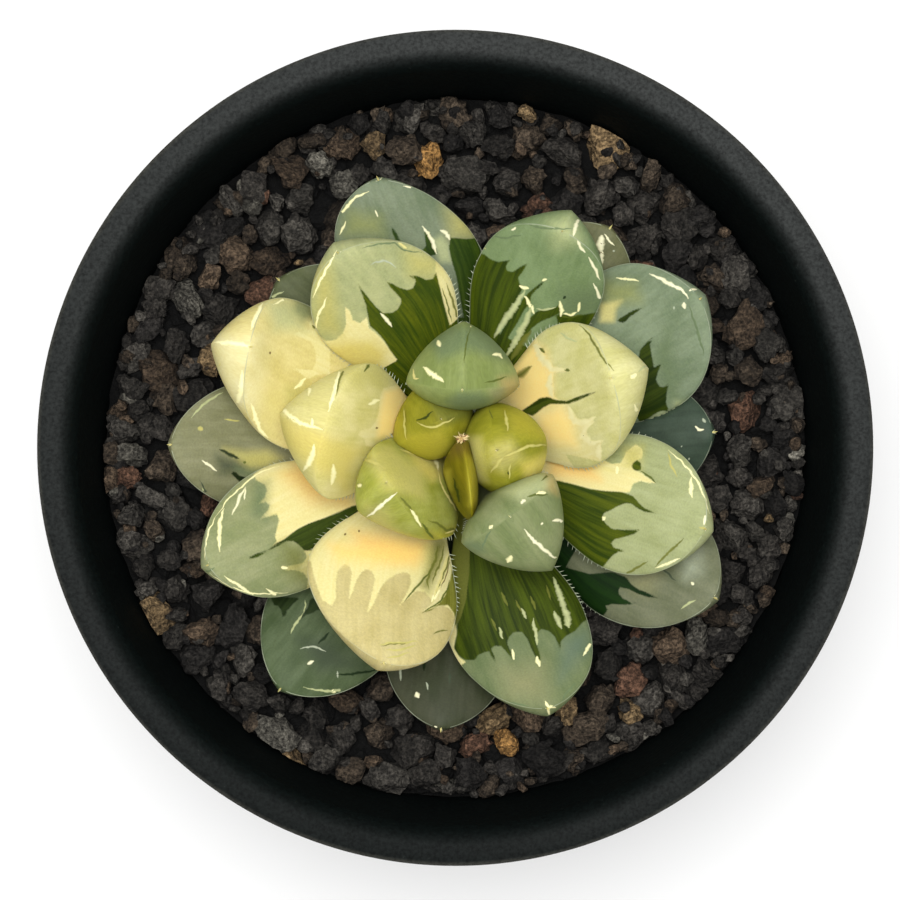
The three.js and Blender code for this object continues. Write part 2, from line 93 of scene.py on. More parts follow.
# From the youngest leaf to the oldest, as the solids have them: its ring, the directions of its face
# and seat, the height of its root, how far its point lies out and aside, its bow, its top, the slope
# of its point, its width, and its thickness above and below.
LEAF_ROWS = [
    ("heart", 283, 258, 73, -1.1, 0.3, -0.3, 81.4, 135, 3.6, 1, 6.9),
    ("heart", 117, 157, 72.4, 3.8, 0.4, 0.7, 81.5, 84, 9.2, 3.2, 4.7),
    ("heart", 16, 14, 71.8, 3.5, -1.1, -0.7, 83.8, 102.5, 10.8, 4, 5),
    ("heart", 212, 225, 71.2, 8.4, -1.3, 1.3, 84.3, 87, 12.4, 2.4, 5.5),
    ("inner", 89, 85, 70.6, 6.2, 0, 0, 86, 105, 12, 2.8, 6.6),
    ("inner", 306, 302, 70, 8.6, 0, 0.5, 86.4, 80, 11.9, 2.1, 8.4),
    ("inner", 163, 175, 69.5, 14.4, 2.2, 0, 84.5, 78, 15, 2.4, 7.6),
    ("middle", 17, 40, 69.6, 17.4, 2.6, 0, 82.5, 86, 15.6, 2.4, 6.1),
    ("middle", 250, 225, 69, 24, 0, -2.2, 80, 50, 16.8, 2.4, 5),
    ("middle", 122, 100, 68.8, 24.6, 0, -0.6, 79.5, 55, 15, 2.4, 5),
    ("middle", 168, 140, 67.6, 24.2, -6, 0, 80, 88, 15.4, 2.4, 6.8),
    ("middle", 66, 62, 68, 25.6, -0.4, 0, 79, 75, 14, 2.4, 5.6),
    ("middle", 342, 345, 68.2, 27.3, 0, 0, 78, 52, 15, 2.4, 5),
    ("middle", 280, 290, 67.4, 28.8, 4.3, 0, 77, 50, 15.2, 2.4, 5),
    ("middle", 204.5, 200, 66.8, 29.6, 0, 0, 77.5, 50, 13.8, 2.4, 5),
    ("lower", 33, 25, 65.8, 30.4, -0.4, 0, 74, 50, 17, 2.2, 4.8),
    ("lower", 96, 90, 65.4, 29.9, 5.8, 0, 72.5, 35, 15.5, 2.2, 4.5),
    ("lower", 329, 322, 65, 31.7, 0.4, 0, 73, 45, 15, 2.2, 4.5),
    ("lower", 179, 176, 64.8, 31.3, 0, 0, 72.5, 38, 14, 2.2, 4.5),
    ("lower", 233, 236, 64.4, 32.4, 0, 0, 71.5, 35, 15, 2.2, 4.5),
    ("lowest", 266, 272, 63.8, 30.3, 0, 0, 71, 35, 14, 2, 4.2),
    ("lowest", 4, 358, 63.6, 27.5, 0, 0, 70, 35, 13, 2, 4),
    ("lowest", 56, 58, 63.4, 29, 0, 0, 69.6, 35, 14, 2, 3.8),
    ("lowest", 137, 134, 63.4, 27, 0, 0, 69.6, 35, 14, 2, 3.8),
]
LEAF_FIELDS = (
    "ring", "face", "seat", "root", "reach", "aside", "bow", "top", "tip", "width", "above", "below",
)
OWN_VALUES = {
    1: dict(widest=0.5),
    2: dict(keel=0.4, widest=0.54),
    3: dict(keel=0.15, widest=0.53),
    4: dict(keel=0.35, widest=0.48),
    6: dict(keel=0.45, widest=0.75),
    8: dict(seat_width=0.46, widest=0.52),
}
USUAL_KEEL = 0.5

# Younger leaves that a leaf leans across
LIES_OVER = {2: (1,), 3: (1, 2), 4: (1, 2), 5: (1, 2, 3), 6: (1, 3, 4)}

# Leaves 1 to 4 are so young that light passes right through them.
GLASSY_LEAVES = 4


def leaf_specs():
    """The values of each leaf by name, from its own row, its ring and its exceptions."""
    specs = []
    for number, row in enumerate(LEAF_ROWS, start=1):
        row = dict(zip(LEAF_FIELDS, row))
        own = OWN_VALUES.get(number, {})
        specs.append({"keel": USUAL_KEEL, "number": number, **RINGS[row["ring"]], **row, **own})
    return specs


# Colours, as seen on a screen; the palest go past 255 because leaves lie at a slope to the light.
PAINT = {
    "ivory": (262, 252, 190),
    "cream": (250, 236, 154),
    "bright": (288, 280, 212),
    "white": (280, 274, 228),
    "pale": (206, 212, 156),
    "straw": (214, 205, 120),
    "peach": (284, 240, 138),
    "glow": (300, 260, 162),
    "apricot": (268, 216, 124),
    "tan": (196, 172, 108),
    "yellow": (242, 222, 120),
    "gold": (188, 178, 58),
    "olive": (118, 122, 48),
    "moss": (92, 104, 34),
    "deep": (44, 60, 10),
    "night": (18, 40, 8),
    "sage": (116, 134, 96),
    "slate": (112, 132, 112),
    "mist": (196, 204, 178),
    "shade": (70, 82, 62),
    "brown": (110, 88, 40),
    "dusk": (166, 164, 118),
    "leek": (164, 170, 104),
}

# How much brighter the studio light shows a surface than its own colour
LIGHTING = 1.4


def linear(rgb):
    """The colour of a surface that is seen as a screen colour of 0 to 255 under the studio light."""
    def channel(c):
        c /= 255
        return (c / 12.92 if c <= 0.04045 else ((c + 0.055) / 1.055) ** 2.4) / LIGHTING
    return tuple(channel(c) for c in rgb) + (1.0,)


# Marks on each leaf, in pixels of the photograph. window and greens are a light and a dark colour.
# cream and green outline the opaque patches that reach up between the windows, and base is the share
# of the leaf, from its seat, that base_kind covers. Each blush is soft colour in the skin: its paint,
# softness and outline; some blushes are painted light and shade. Each of the lines is a vein, rib,
# keel, dot or painted highlight: its paint, width and points.
MARKS = {
    1: dict(
        window=((138, 129, 17), (104, 100, 11)), base=0.0,
        lines=[("deep", 3.5, [(453, 478), (457, 490), (460, 506)])],
        blush=[
            ("brown", 10, [(452, 440), (468, 440), (470, 452), (450, 456)]),
            # Painted light: the right flank, in the shade of its neighbours, is painted paler.
            ("gold", 5, [(468, 456), (484, 466), (484, 505), (469, 505)]),
            ("gold", 4, [(438, 470), (450, 470), (452, 490), (440, 490)]),
        ],
    ),
    2: dict(
        window=((167, 163, 46), (145, 143, 29)), base=0.0,
        blush=[
            ("olive", 6, [(425, 400), (475, 400), (474, 418), (448, 424), (436, 412)]),
            ("gold", 8, [(385, 400), (404, 420), (407, 452), (385, 455)]),
            ("gold", 5, [(404, 436), (440, 430), (452, 446), (438, 460), (410, 456)]),
        ],
        lines=[
            ("straw", 2.0, [(404, 408), (404, 425), (407, 440)]),
            ("deep", 3.2, [(416, 420), (425, 418), (430, 414), (433, 411)]),
            ("straw", 2.4, [(417, 422), (426, 427), (436, 427), (448, 421), (455, 418)]),
        ],
    ),
    3: dict(
        window=((174, 171, 53), (151, 151, 37)), base=0.0,
        blush=[
            ("gold", 8, [(505, 412), (530, 410), (548, 440), (512, 430)]),
            ("straw", 9, [(488, 446), (510, 440), (524, 458), (504, 472), (488, 466)]),
            # Painted light: the next two blushes brighten the leaf's right foot and left edge, which lie in
            # shaded gaps.
            ("yellow", 7, [(522, 464), (556, 450), (548, 476), (526, 486)]),
            ("straw", 5, [(466, 436), (482, 436), (488, 482), (474, 484)]),
        ],
        lines=[
            ("straw", 3.0, [(504, 457), (513, 453), (525, 447), (540, 445), (549, 446)]),
            # Painted highlight along a ridge of the leaf.
            ("straw", 3.0, [(491, 473), (499, 462), (504, 457)]),
            ("straw", 3.0, [(505, 410), (507, 424), (508, 431)]),
            ("olive", 2.0, [(489, 410), (493, 419)]),
            ("straw", 2.2, [(510, 464), (509, 479)]),
            ("deep", 2.4, [(508, 471), (508, 475)]),
        ],
    ),
    4: dict(
        window=((187, 190, 97), (163, 169, 63)), base=0.0,
        blush=[
            ("straw", 8, [(360, 450), (390, 445), (425, 470), (425, 500), (385, 490)]),
            ("peach", 8, [(350, 515), (380, 530), (430, 545), (430, 560), (350, 560)]),
            # Painted light: the next two blushes brighten the top edge and the lower margin, which lie in
            # shaded gaps.
            ("yellow", 6, [(404, 446), (440, 452), (444, 476), (432, 482), (418, 468)]),
            ("gold", 8, [(425, 530), (445, 532), (462, 522), (462, 560), (430, 560)]),
            ("straw", 10, [(366, 505), (388, 510), (396, 532), (380, 538), (366, 524)]),
        ],
        lines=[
            ("white", 3.6, [(366, 518), (377, 509), (388, 500), (397, 492)]),
            ("olive", 3.2, [(400, 497), (407, 504), (412, 510)]),
            ("bright", 3.4, [(410, 509), (416, 517), (421, 527)]),
            ("moss", 3.6, [(422, 523), (428, 532), (434, 539)]),
            ("olive", 3.4, [(428, 520), (438, 524), (446, 530), (455, 529), (463, 521)]),
            ("cream", 2.4, [(445, 533), (455, 531), (464, 524)]),
            ("bright", 3.4, [(428, 456), (434, 459), (437, 465), (438, 470)]),
            ("cream", 3.6, [(395, 531), (401, 537)]),
            ("bright", 4.0, [(461, 517), (466, 517)]),
            ("straw", 2.8, [(356, 455), (366, 460), (378, 464), (386, 469)]),
            ("cream", 2.0, [(438, 470), (440, 482), (446, 494), (454, 506), (461, 517)]),
            ("straw", 2.0, [(398, 449), (412, 453), (426, 457)]),
            ("bright", 4.4, [(355, 487), (362, 485)]),
        ],
    ),
    5: dict(
        window=((160, 173, 106), (137, 152, 84)), base=0.0,
        blush=[
            ("sage", 8, [(428, 340), (450, 325), (500, 330), (520, 365), (470, 350), (440, 360)]),
            ("tan", 7, [(500, 378), (516, 376), (524, 386), (522, 402), (503, 403)]),
            ("dusk", 6, [(490, 390), (504, 388), (506, 402), (492, 404)]),
            # Painted shade along the leaf's lower edge.
            ("sage", 7, [(446, 402), (458, 392), (480, 392), (491, 398), (486, 411), (456, 411)]),
        ],
        lines=[
            ("moss", 1.8, [(470, 328), (467, 340), (465, 352), (464, 363)]),
            ("bright", 5.0, [(438, 340), (440, 347)]),
            ("bright", 5.6, [(423, 367), (432, 374), (444, 382)]),
            ("cream", 2.4, [(413, 369), (414, 379), (419, 378)]),
            ("pale", 2.2, [(411, 388), (420, 398), (436, 405), (454, 408)]),
            ("bright", 3.8, [(492, 355), (499, 354), (502, 359)]),
            ("bright", 3.0, [(470, 327), (476, 324)]),
            ("moss", 2.6, [(484, 383), (496, 380), (507, 377)]),
            ("pale", 3.0, [(487, 404), (500, 406), (510, 405)]),
            ("olive", 2.4, [(416, 395), (430, 403), (443, 409)]),
        ],
    ),
    6: dict(
        window=((151, 160, 112), (128, 142, 91)), base=0.0,
        blush=[
            ("pale", 8, [(500, 492), (545, 468), (556, 486), (520, 500)]),
            ("sage", 5, [(462, 540), (480, 543), (486, 552), (466, 556)]),
            ("tan", 6, [(545, 468), (556, 478), (558, 495), (548, 490)]),
        ],
        lines=[
            ("white", 4.0, [(524, 529), (534, 541), (545, 550), (554, 558), (559, 556)]),
            ("white", 4.4, [(521, 504), (524, 500), (526, 501)]),
            ("bright", 4.6, [(536, 494), (546, 492)]),
            ("moss", 2.8, [(527, 497), (534, 495), (548, 495)]),
            ("white", 3.4, [(552, 521), (560, 520), (564, 524)]),
            ("bright", 5.4, [(511, 555), (508, 563)]),
            ("moss", 2.4, [(541, 481), (547, 476), (551, 470)]),
            ("cream", 3.4, [(546, 465), (552, 472), (556, 481), (558, 491)]),
            ("bright", 4.6, [(546, 458), (548, 469)]),
            ("sage", 2.8, [(491, 530), (485, 540), (482, 549)]),
            ("bright", 3.4, [(493, 525), (489, 529)]),
            ("white", 4.0, [(541, 523), (543, 524)]),
            ("bright", 2.6, [(460, 553), (468, 555), (478, 557)]),
        ],
    ),
    7: dict(
        window=((248, 237, 163), (228, 218, 132)), base=0.34, base_kind="cream",
        cream=[
            [(384, 388), (380, 396), (379, 412), (376, 421), (371, 428), (361, 431), (358, 435), (364, 438),
             (366, 446), (374, 447), (376, 460), (400, 470), (440, 440), (420, 380)],
        ],
        blush=[
            ("glow", 5, [(385, 392), (405, 385), (410, 410), (398, 432), (385, 440), (377, 440), (380, 415)]),
            ("yellow", 10, [(268, 405), (285, 415), (320, 432), (360, 450), (345, 488), (270, 440)]),
            ("straw", 12, [(345, 368), (384, 360), (380, 386), (350, 388)]),
            ("straw", 5, [(373, 440), (384, 436), (404, 452), (404, 462), (375, 462)]),
        ],
        lines=[
            ("olive", 2.8, [(336, 396), (338, 385), (342, 373), (349, 364)]),
            ("olive", 2.2, [(349, 364), (360, 358), (370, 357), (383, 358)]),
            ("bright", 4.2, [(328, 412), (333, 397), (337, 381), (341, 368)]),
            ("moss", 3.2, [(367, 359), (368, 366), (364, 372)]),
            ("bright", 4.6, [(318, 369), (312, 378), (310, 386), (309, 396)]),
            ("bright", 5.0, [
                (278, 388), (284, 392), (282, 400), (282, 408), (289, 416), (301, 423), (323, 430),
            ]),
            ("bright", 3.4, [(312, 418), (312, 427)]),
            ("bright", 5.8, [(314, 444), (313, 455), (308, 464), (303, 471)]),
            ("bright", 5.8, [(333, 464), (334, 474), (331, 485)]),
            ("bright", 4.0, [(380, 400), (373, 402), (368, 404)]),
            ("brown", 3.4, [(376, 427), (377, 429)]),
            ("brown", 3.8, [(391, 434), (392, 435)]),
            ("white", 3.4, [(376, 357), (384, 354)]),
        ],
    ),
    8: dict(
        window=((242, 237, 170), (223, 218, 141)), base=0.4, base_kind="cream",
        cream=[
            [(528, 322), (537, 331), (538, 346), (545, 358), (553, 367), (566, 369), (566, 372), (554, 373),
             (552, 383), (554, 395), (559, 400), (568, 402), (571, 410), (575, 418), (583, 421), (593, 417),
             (592, 423), (587, 428), (586, 436), (592, 441), (603, 440), (600, 448), (602, 462), (570, 455),
             (530, 450), (480, 430), (480, 350)],
        ],
        green=[
            [(520, 412), (533, 403), (540, 398), (548, 397), (556, 400), (567, 401), (577, 397), (586, 394),
             (596, 392), (586, 397), (577, 401), (568, 404), (558, 404), (550, 404), (543, 408), (533, 416)],
        ],
        blush=[
            ("glow", 9, [(528, 340), (545, 350), (552, 375), (552, 400), (520, 415), (500, 385)]),
            ("glow", 10, [(540, 415), (560, 408), (572, 420), (575, 445), (545, 442), (538, 425)]),
            ("olive", 6, [(528, 336), (532, 345), (520, 360), (508, 372), (503, 362)]),
        ],
        lines=[
            ("olive", 3.0, [(579, 325), (590, 336), (597, 348), (604, 360), (614, 371)]),
            ("pale", 3.0, [(560, 333), (570, 339), (577, 342)]),
            ("straw", 2.8, [(618, 327), (622, 336), (625, 344)]),
            ("pale", 3.0, [(648, 357), (645, 366), (638, 372)]),
            ("bright", 4.6, [(636, 373), (631, 379)]),
            ("bright", 4.4, [(646, 387), (651, 385)]),
            ("moss", 3.8, [(539, 348), (545, 353)]),
            ("moss", 3.2, [(564, 370), (570, 371)]),
            ("olive", 7.5, [(513, 380), (523, 373), (532, 366)]),
            ("ivory", 8.0, [(530, 328), (536, 346), (543, 360), (552, 369), (566, 370)]),
            ("ivory", 7.0, [(551, 373), (549, 385), (553, 398)]),
            ("ivory", 7.0, [(568, 406), (573, 420), (583, 423), (596, 417)]),
            ("ivory", 7.0, [(594, 421), (585, 428), (583, 436), (590, 443), (603, 441)]),
            ("ivory", 6.0, [(600, 444), (598, 450), (600, 460)]),
            ("bright", 3.6, [(634, 404), (640, 420)]),
        ],
    ),
    9: dict(
        window=((227, 212, 150), (208, 193, 128)), base=0.4, base_kind="cream",
        cream=[
            [(300, 552), (311, 562), (315, 580), (322, 600), (332, 606), (336, 598), (336, 580), (338, 571),
             (342, 566), (346, 564), (350, 567), (352, 573), (350, 586), (349, 599), (353, 592), (356, 581),
             (361, 573), (366, 569), (372, 571), (375, 579), (373, 589), (370, 600), (367, 614), (372, 607),
             (377, 596), (381, 587), (388, 579), (397, 574), (405, 572), (410, 575), (411, 584), (406, 594),
             (400, 605), (408, 598), (416, 591), (425, 592), (430, 598), (434, 601), (428, 607), (423, 612),
             (434, 608), (444, 605), (452, 611), (456, 620), (451, 630), (470, 620), (480, 540), (420, 470),
             (330, 500)],
        ],
        green=[
            [(421, 613), (432, 608), (440, 603), (446, 594), (450, 580), (454, 560), (457, 540), (476, 540),
             (474, 575), (468, 600), (462, 615), (456, 622), (454, 613), (448, 605), (438, 606), (430, 611)],
        ],
        greens=((150, 150, 62), (110, 112, 30)),
        blush=[
            ("apricot", 12, [(352, 532), (385, 534), (425, 542), (422, 558), (395, 560), (360, 548)]),
            ("peach", 12, [(330, 545), (430, 545), (415, 566), (340, 560)]),
            ("straw", 8, [(425, 545), (445, 540), (438, 565), (424, 578)]),
            ("olive", 7, [
                (434, 540), (447, 540), (442, 560), (434, 578), (428, 592), (421, 586), (430, 568),
            ]),
        ],
        lines=[
            ("straw", 3.0, [(379, 645), (390, 643), (403, 643), (418, 641)]),
            ("olive", 1.8, [(381, 646), (392, 644), (410, 643)]),
            ("straw", 2.4, [(386, 650), (400, 650), (417, 645)]),
            ("straw", 2.0, [(386, 657), (399, 656), (410, 652)]),
            ("olive", 2.0, [(433, 634), (440, 631), (448, 630)]),
            ("brown", 4.0, [(344, 534), (346, 535)]),
            ("brown", 3.4, [(356, 653), (358, 654)]),
            ("brown", 2.2, [(358, 531), (360, 531)]),
            ("moss", 2.6, [(433, 566), (428, 574), (422, 581), (412, 592), (404, 602)]),
            ("olive", 3.4, [(438, 545), (436, 558), (431, 570), (427, 580), (429, 590)]),
            ("olive", 2.6, [(444, 546), (441, 560), (436, 572), (432, 584)]),
            ("olive", 3.0, [(451, 546), (448, 562), (443, 575), (438, 588), (436, 596)]),
            ("cream", 4.5, [(448, 552), (445, 566), (441, 580), (437, 590), (432, 603)]),
            ("brown", 1.4, [(450, 560), (446, 575), (441, 588)]),
            ("moss", 2.2, [(450, 580), (446, 592), (440, 601), (431, 608), (422, 613)]),
            ("bright", 4.0, [(440, 590), (434, 598), (431, 602)]),
        ],
    ),
    10: dict(
        window=((200, 203, 147), (174, 181, 127)), base=0.36, base_kind="green",
        cream=[
            [(316, 322), (318, 334), (326, 341), (335, 340), (343, 333), (346, 324), (345, 307), (350, 311),
             (353, 320), (360, 323), (367, 317), (369, 328), (376, 333), (384, 341), (392, 352), (400, 362),
             (410, 380), (380, 420), (300, 420), (300, 330)],
            [(436, 258), (447, 264), (455, 277), (460, 290), (464, 310), (472, 350), (458, 350), (451, 330),
             (445, 308), (440, 288), (435, 274)],
            [(379, 311), (384, 313), (390, 320), (394, 330), (388, 329), (382, 320)],
        ],
        green=[
            [(358, 284), (364, 292), (370, 300), (376, 307), (383, 313), (392, 313), (398, 309), (401, 303),
             (401, 299), (396, 293), (390, 287), (387, 282), (393, 284), (400, 288), (407, 290), (413, 288),
             (415, 283), (416, 280), (408, 275.5), (418, 276), (426, 280), (433, 279), (436, 272), (440, 288),
             (445, 308), (451, 330), (457, 350), (462, 400), (415, 400), (405, 372), (398, 361),
             (390, 350), (384, 340), (377, 332), (370, 326), (368, 316), (366, 305)],
        ],
        greens=((98, 108, 10), (58, 78, 4)),
        blush=[
            ("yellow", 8, [(324, 348), (350, 342), (372, 342), (385, 352), (380, 372), (330, 372)]),
            ("straw", 14, [(405, 250), (440, 258), (436, 276), (410, 274)]),
            ("straw", 12, [(312, 270), (330, 262), (340, 335), (318, 330)]),
        ],
        lines=[
            ("bright", 2.8, [(337, 250), (326, 270), (319, 283), (313, 298)]),
            ("bright", 2.8, [(327, 297), (323, 306), (318, 315), (316, 329)]),
            ("mist", 2.4, [(370, 265), (376, 262), (384, 261), (391, 263), (396, 268)]),
            ("white", 3.8, [(380, 313), (386, 319), (392, 327)]),
            ("sage", 2.4, [(362, 248), (379, 244), (394, 243), (403, 250), (422, 253)]),
            ("cream", 2.8, [(398, 243), (407, 248)]),
            ("olive", 2.6, [(446, 283), (451, 296), (456, 312), (459, 326)]),
            ("moss", 1.8, [(442, 288), (447, 304), (452, 322)]),
        ],
    ),
    11: dict(
        window=((253, 237, 162), (236, 219, 139)), base=0.36, base_kind="cream",
        cream=[
            [(292, 334), (302, 331), (309, 330), (310, 321), (314, 317), (330, 330), (330, 375), (318, 374),
             (308, 379), (300, 373), (291, 368), (303, 369.5), (312, 370), (316, 363), (316, 352), (311, 342),
             (304, 338.5)],
        ],
        blush=[
            ("sage", 7, [(294, 300), (314, 298), (315, 318), (302, 322), (292, 312)]),
            ("pale", 12, [(266, 304), (290, 298), (305, 330), (275, 330)]),
            ("cream", 14, [(262, 398), (284, 385), (284, 425), (268, 436)]),
            ("straw", 8, [(286, 388), (308, 384), (300, 416), (288, 420)]),
            ("ivory", 12, [(226, 376), (262, 376), (258, 408), (234, 408)]),
            ("ivory", 14, [(215, 335), (262, 335), (262, 372), (218, 372)]),
        ],
        lines=[
            ("bright", 5.2, [(214, 342), (226, 343), (240, 344), (251, 347)]),
            ("bright", 4.6, [(263, 303), (258, 312), (254, 322), (251, 330)]),
            ("bright", 5.8, [(242, 370), (242, 385), (239, 398), (235, 409)]),
            ("cream", 3.2, [(220, 362), (217, 378)]),
            ("bright", 4.6, [(251, 403), (255, 415), (259, 428), (268, 438)]),
            ("bright", 3.2, [(273, 305), (285, 299), (297, 297), (311, 296)]),
            ("bright", 4.0, [(306, 378), (300, 384), (294, 389)]),
            ("brown", 3.2, [(269, 353), (271, 353)]),
            ("olive", 3.0, [(312, 325), (315, 329)]),
        ],
    ),
    12: dict(
        window=((144, 165, 117), (125, 147, 98)), base=0.36, base_kind="green",
        green=[
            [(472, 252), (484, 254), (490, 259), (498, 262), (510, 260), (506, 266), (507, 271), (513, 272),
             (520, 267), (528, 263), (523, 271), (518, 278), (520, 284), (522, 290), (516, 300), (506, 314),
             (496, 330), (489, 345), (495, 372), (460, 380), (462, 320), (466, 290), (469, 265)],
            [(546, 279), (541, 286), (535, 291), (531, 296), (530, 304), (524, 310), (518, 322), (509, 336),
             (504, 348), (498, 362), (493, 350), (498, 338), (508, 320), (518, 305), (526, 295), (534, 288)],
            [(522, 328), (530, 318), (537, 311), (548, 309), (556, 307), (562, 303), (561, 312), (552, 317),
             (540, 322), (532, 328), (520, 345), (508, 365), (503, 360), (512, 345)],
            # Painted shade: this last outline darkens the leaf's lower band.
            [(556, 314), (575, 316), (600, 312), (612, 330), (560, 335)],
        ],
        greens=((82, 98, 8), (46, 64, 2)),
        blush=[
            ("sage", 14, [(560, 290), (600, 285), (604, 316), (560, 316)]),
            ("pale", 16, [(550, 222), (572, 214), (580, 240), (556, 246)]),
        ],
        lines=[
            ("pale", 7.0, [(525, 290), (518, 302), (505, 320), (494, 338)]),
            ("bright", 4.0, [(519, 286), (529, 289)]),
            ("pale", 7.0, [(532, 305), (526, 322), (516, 340), (505, 358)]),
            ("bright", 4.0, [(524, 296), (530, 304), (534, 314)]),
            ("pale", 2.4, [(536, 309), (546, 310), (556, 307)]),
            ("bright", 4.4, [(559, 301), (562, 310), (561, 317)]),
            ("bright", 2.6, [(563, 314), (571, 315), (577, 312)]),
            ("bright", 3.4, [(580, 302), (578, 312)]),
            ("sage", 2.6, [(520, 222), (532, 226), (546, 228), (560, 229), (573, 229)]),
            ("sage", 2.6, [(492, 236), (505, 238), (521, 235)]),
            ("white", 4.2, [(580, 216), (576, 225), (573, 237)]),
            ("white", 3.4, [(577, 240), (580, 247), (585, 253)]),
            ("white", 3.2, [(588, 257), (594, 267), (600, 280)]),
            ("white", 3.2, [(593, 283), (598, 293), (603, 306)]),
            ("white", 3.0, [(511, 230), (516, 227)]),
            ("cream", 3.2, [(472, 251), (478, 248), (486, 248)]),
            ("pale", 4.2, [(469, 258), (467, 275), (465, 296)]),
            ("olive", 7.0, [(531, 330), (521, 344), (511, 360)]),
            ("night", 3.4, [(563, 299), (566, 296)]),
            ("bright", 3.0, [(542, 281), (547, 279)]),
            ("moss", 2.4, [(560, 317), (570, 317), (582, 315)]),
        ],
    ),
    13: dict(
        window=((192, 199, 147), (171, 179, 124)), base=0.16, base_kind="green",
        cream=[
            [(520, 430), (560, 440), (580, 446), (600, 458), (612, 464), (621, 463), (626, 452), (636, 444),
             (643, 450), (642, 458), (633, 462), (634, 469), (645, 475), (656, 483), (648, 483), (641, 481),
             (633, 484), (630, 492), (622, 493), (606, 492), (590, 489), (575, 485), (558, 482), (520, 476)],
        ],
        green=[
            [(540, 478), (560, 481), (576, 485), (590, 489), (605, 491), (622, 492), (633, 496), (638, 502),
             (644, 508), (656, 513), (645, 512), (637, 508), (632, 504), (626, 503), (618, 506), (611, 510),
             (604, 513), (602, 518), (606, 524), (612, 529), (625, 530), (632, 530), (641, 529), (634, 534),
             (624, 537), (615, 539), (611, 543), (614, 548), (620, 549), (626, 551), (618, 552), (612, 556),
             (607, 562), (602, 568), (594, 573), (588, 580), (570, 578), (540, 570)],
            [(632, 464), (637, 460), (641, 463), (641, 470), (636, 471), (632, 468)],
        ],
        greens=((92, 104, 10), (50, 70, 2)),
        blush=[
            ("apricot", 10, [(548, 455), (590, 462), (600, 480), (550, 476)]),
            ("straw", 8, [(625, 448), (643, 446), (640, 470), (625, 466)]),
        ],
        lines=[
            ("moss", 2.4, [(641, 471), (648, 476), (656, 483)]),
            ("olive", 3.0, [(684, 538), (676, 546), (668, 553), (661, 560), (655, 567)]),
            ("olive", 3.4, [(648, 561), (640, 566), (631, 571), (624, 574)]),
            ("straw", 2.6, [(668, 452), (671, 465), (677, 477)]),
            ("bright", 4.4, [(691, 477), (691, 487), (692, 498)]),
            ("bright", 4.0, [(617, 466), (617, 474)]),
            ("white", 3.6, [(705, 515), (704, 525)]),
            ("bright", 3.0, [(655, 568), (667, 564), (680, 558)]),
            ("bright", 5.0, [(602, 517), (605, 520)]),
            ("straw", 2.6, [(699, 527), (706, 529)]),
            ("bright", 2.2, [(668, 450), (680, 460), (690, 471), (699, 484), (705, 499), (709, 514)]),
        ],
    ),
    14: dict(
        window=((134, 146, 103), (113, 129, 86)), base=0.1, base_kind="green",
        cream=[
            [(444, 630), (456, 624), (457, 634), (455, 640), (454, 648), (460, 658), (466, 662), (458, 667),
             (450, 668), (440, 650)],
        ],
        green=[
            [(476, 500), (470, 545), (469, 575), (466, 600), (461, 617), (457, 625), (457, 633), (456, 640),
             (454, 648), (459, 656), (465, 660), (475, 660), (478, 655), (485, 652), (489, 651), (491, 656),
             (496, 663), (494, 655), (491, 649), (494, 646), (501, 646), (505, 650), (509, 655), (514, 661),
             (511, 652),
             (507, 643), (509, 637), (514, 632), (522, 632), (528, 640), (531, 648), (535, 656), (541, 663),
             (540, 655), (537, 645), (535, 635), (541, 629), (549, 631), (555, 637), (558, 644), (560, 652),
             (561, 641), (566, 636), (575, 631), (583, 622), (593, 617), (600, 610), (620, 580), (600, 500)],
        ],
        greens=((82, 98, 12), (44, 60, 2)),
        blush=[
            ("olive", 3, [(440, 500), (478, 500), (476, 600), (466, 624), (440, 626)]),
            ("olive", 3, [(440, 500), (478, 500), (476, 600), (466, 620), (440, 620)]),
            ("slate", 14, [(562, 640), (590, 628), (588, 650), (560, 680)]),
            ("dusk", 26, [(505, 672), (540, 668), (545, 700), (510, 695)]),
        ],
        lines=[
            ("pale", 6.0, [(553, 577), (558, 590), (563, 604), (568, 622)]),
            ("pale", 7.4, [(565, 608), (567, 616), (569, 628)]),
            ("pale", 5.4, [(554, 611), (558, 620), (562, 629)]),
            ("pale", 4.0, [(533, 618), (535, 630), (538, 645)]),
            ("pale", 3.6, [(521, 608), (526, 619)]),
            ("pale", 3.2, [(499, 627), (503, 639)]),
            ("olive", 3.2, [(501, 592), (508, 606)]),
            ("olive", 2.4, [(491, 618), (497, 631)]),
            ("olive", 2.4, [(515, 600), (522, 612)]),
            ("olive", 2.6, [(530, 596), (536, 610)]),
            ("olive", 2.4, [(546, 585), (551, 600)]),
            ("bright", 3.2, [(512, 649), (514, 660)]),
            ("bright", 4.2, [(537, 656), (539, 667)]),
            ("bright", 3.4, [(583, 656), (588, 648), (592, 640)]),
            ("sage", 3.0, [(493, 697), (505, 702), (516, 704), (529, 706)]),
            ("bright", 3.6, [(545, 701), (549, 707), (556, 707)]),
            ("bright", 3.2, [(549, 707), (549, 716)]),
            ("sage", 2.4, [(576, 682), (566, 694), (560, 702)]),
            ("bright", 2.4, [(448, 662), (458, 664)]),
        ],
    ),
    15: dict(
        window=((172, 177, 131), (148, 158, 108)), base=0.36, base_kind="cream",
        cream=[
            [(256, 480), (264, 484), (267, 490), (265, 497), (258, 504), (266, 502), (270, 505), (268, 510),
             (260, 519), (270, 516), (277, 514), (279, 520), (277, 528), (275, 537), (277, 541), (270, 549),
             (282, 541), (290, 535), (300, 528), (320, 520), (352, 506), (380, 480), (320, 440), (270, 462),
             (254, 474)],
            [(281, 567), (294, 565), (303, 563), (307, 557), (304, 550), (320, 545), (345, 560), (330, 612),
             (310, 604), (307, 590), (308, 580), (304, 573), (296, 570), (285, 570)],
        ],
        green=[
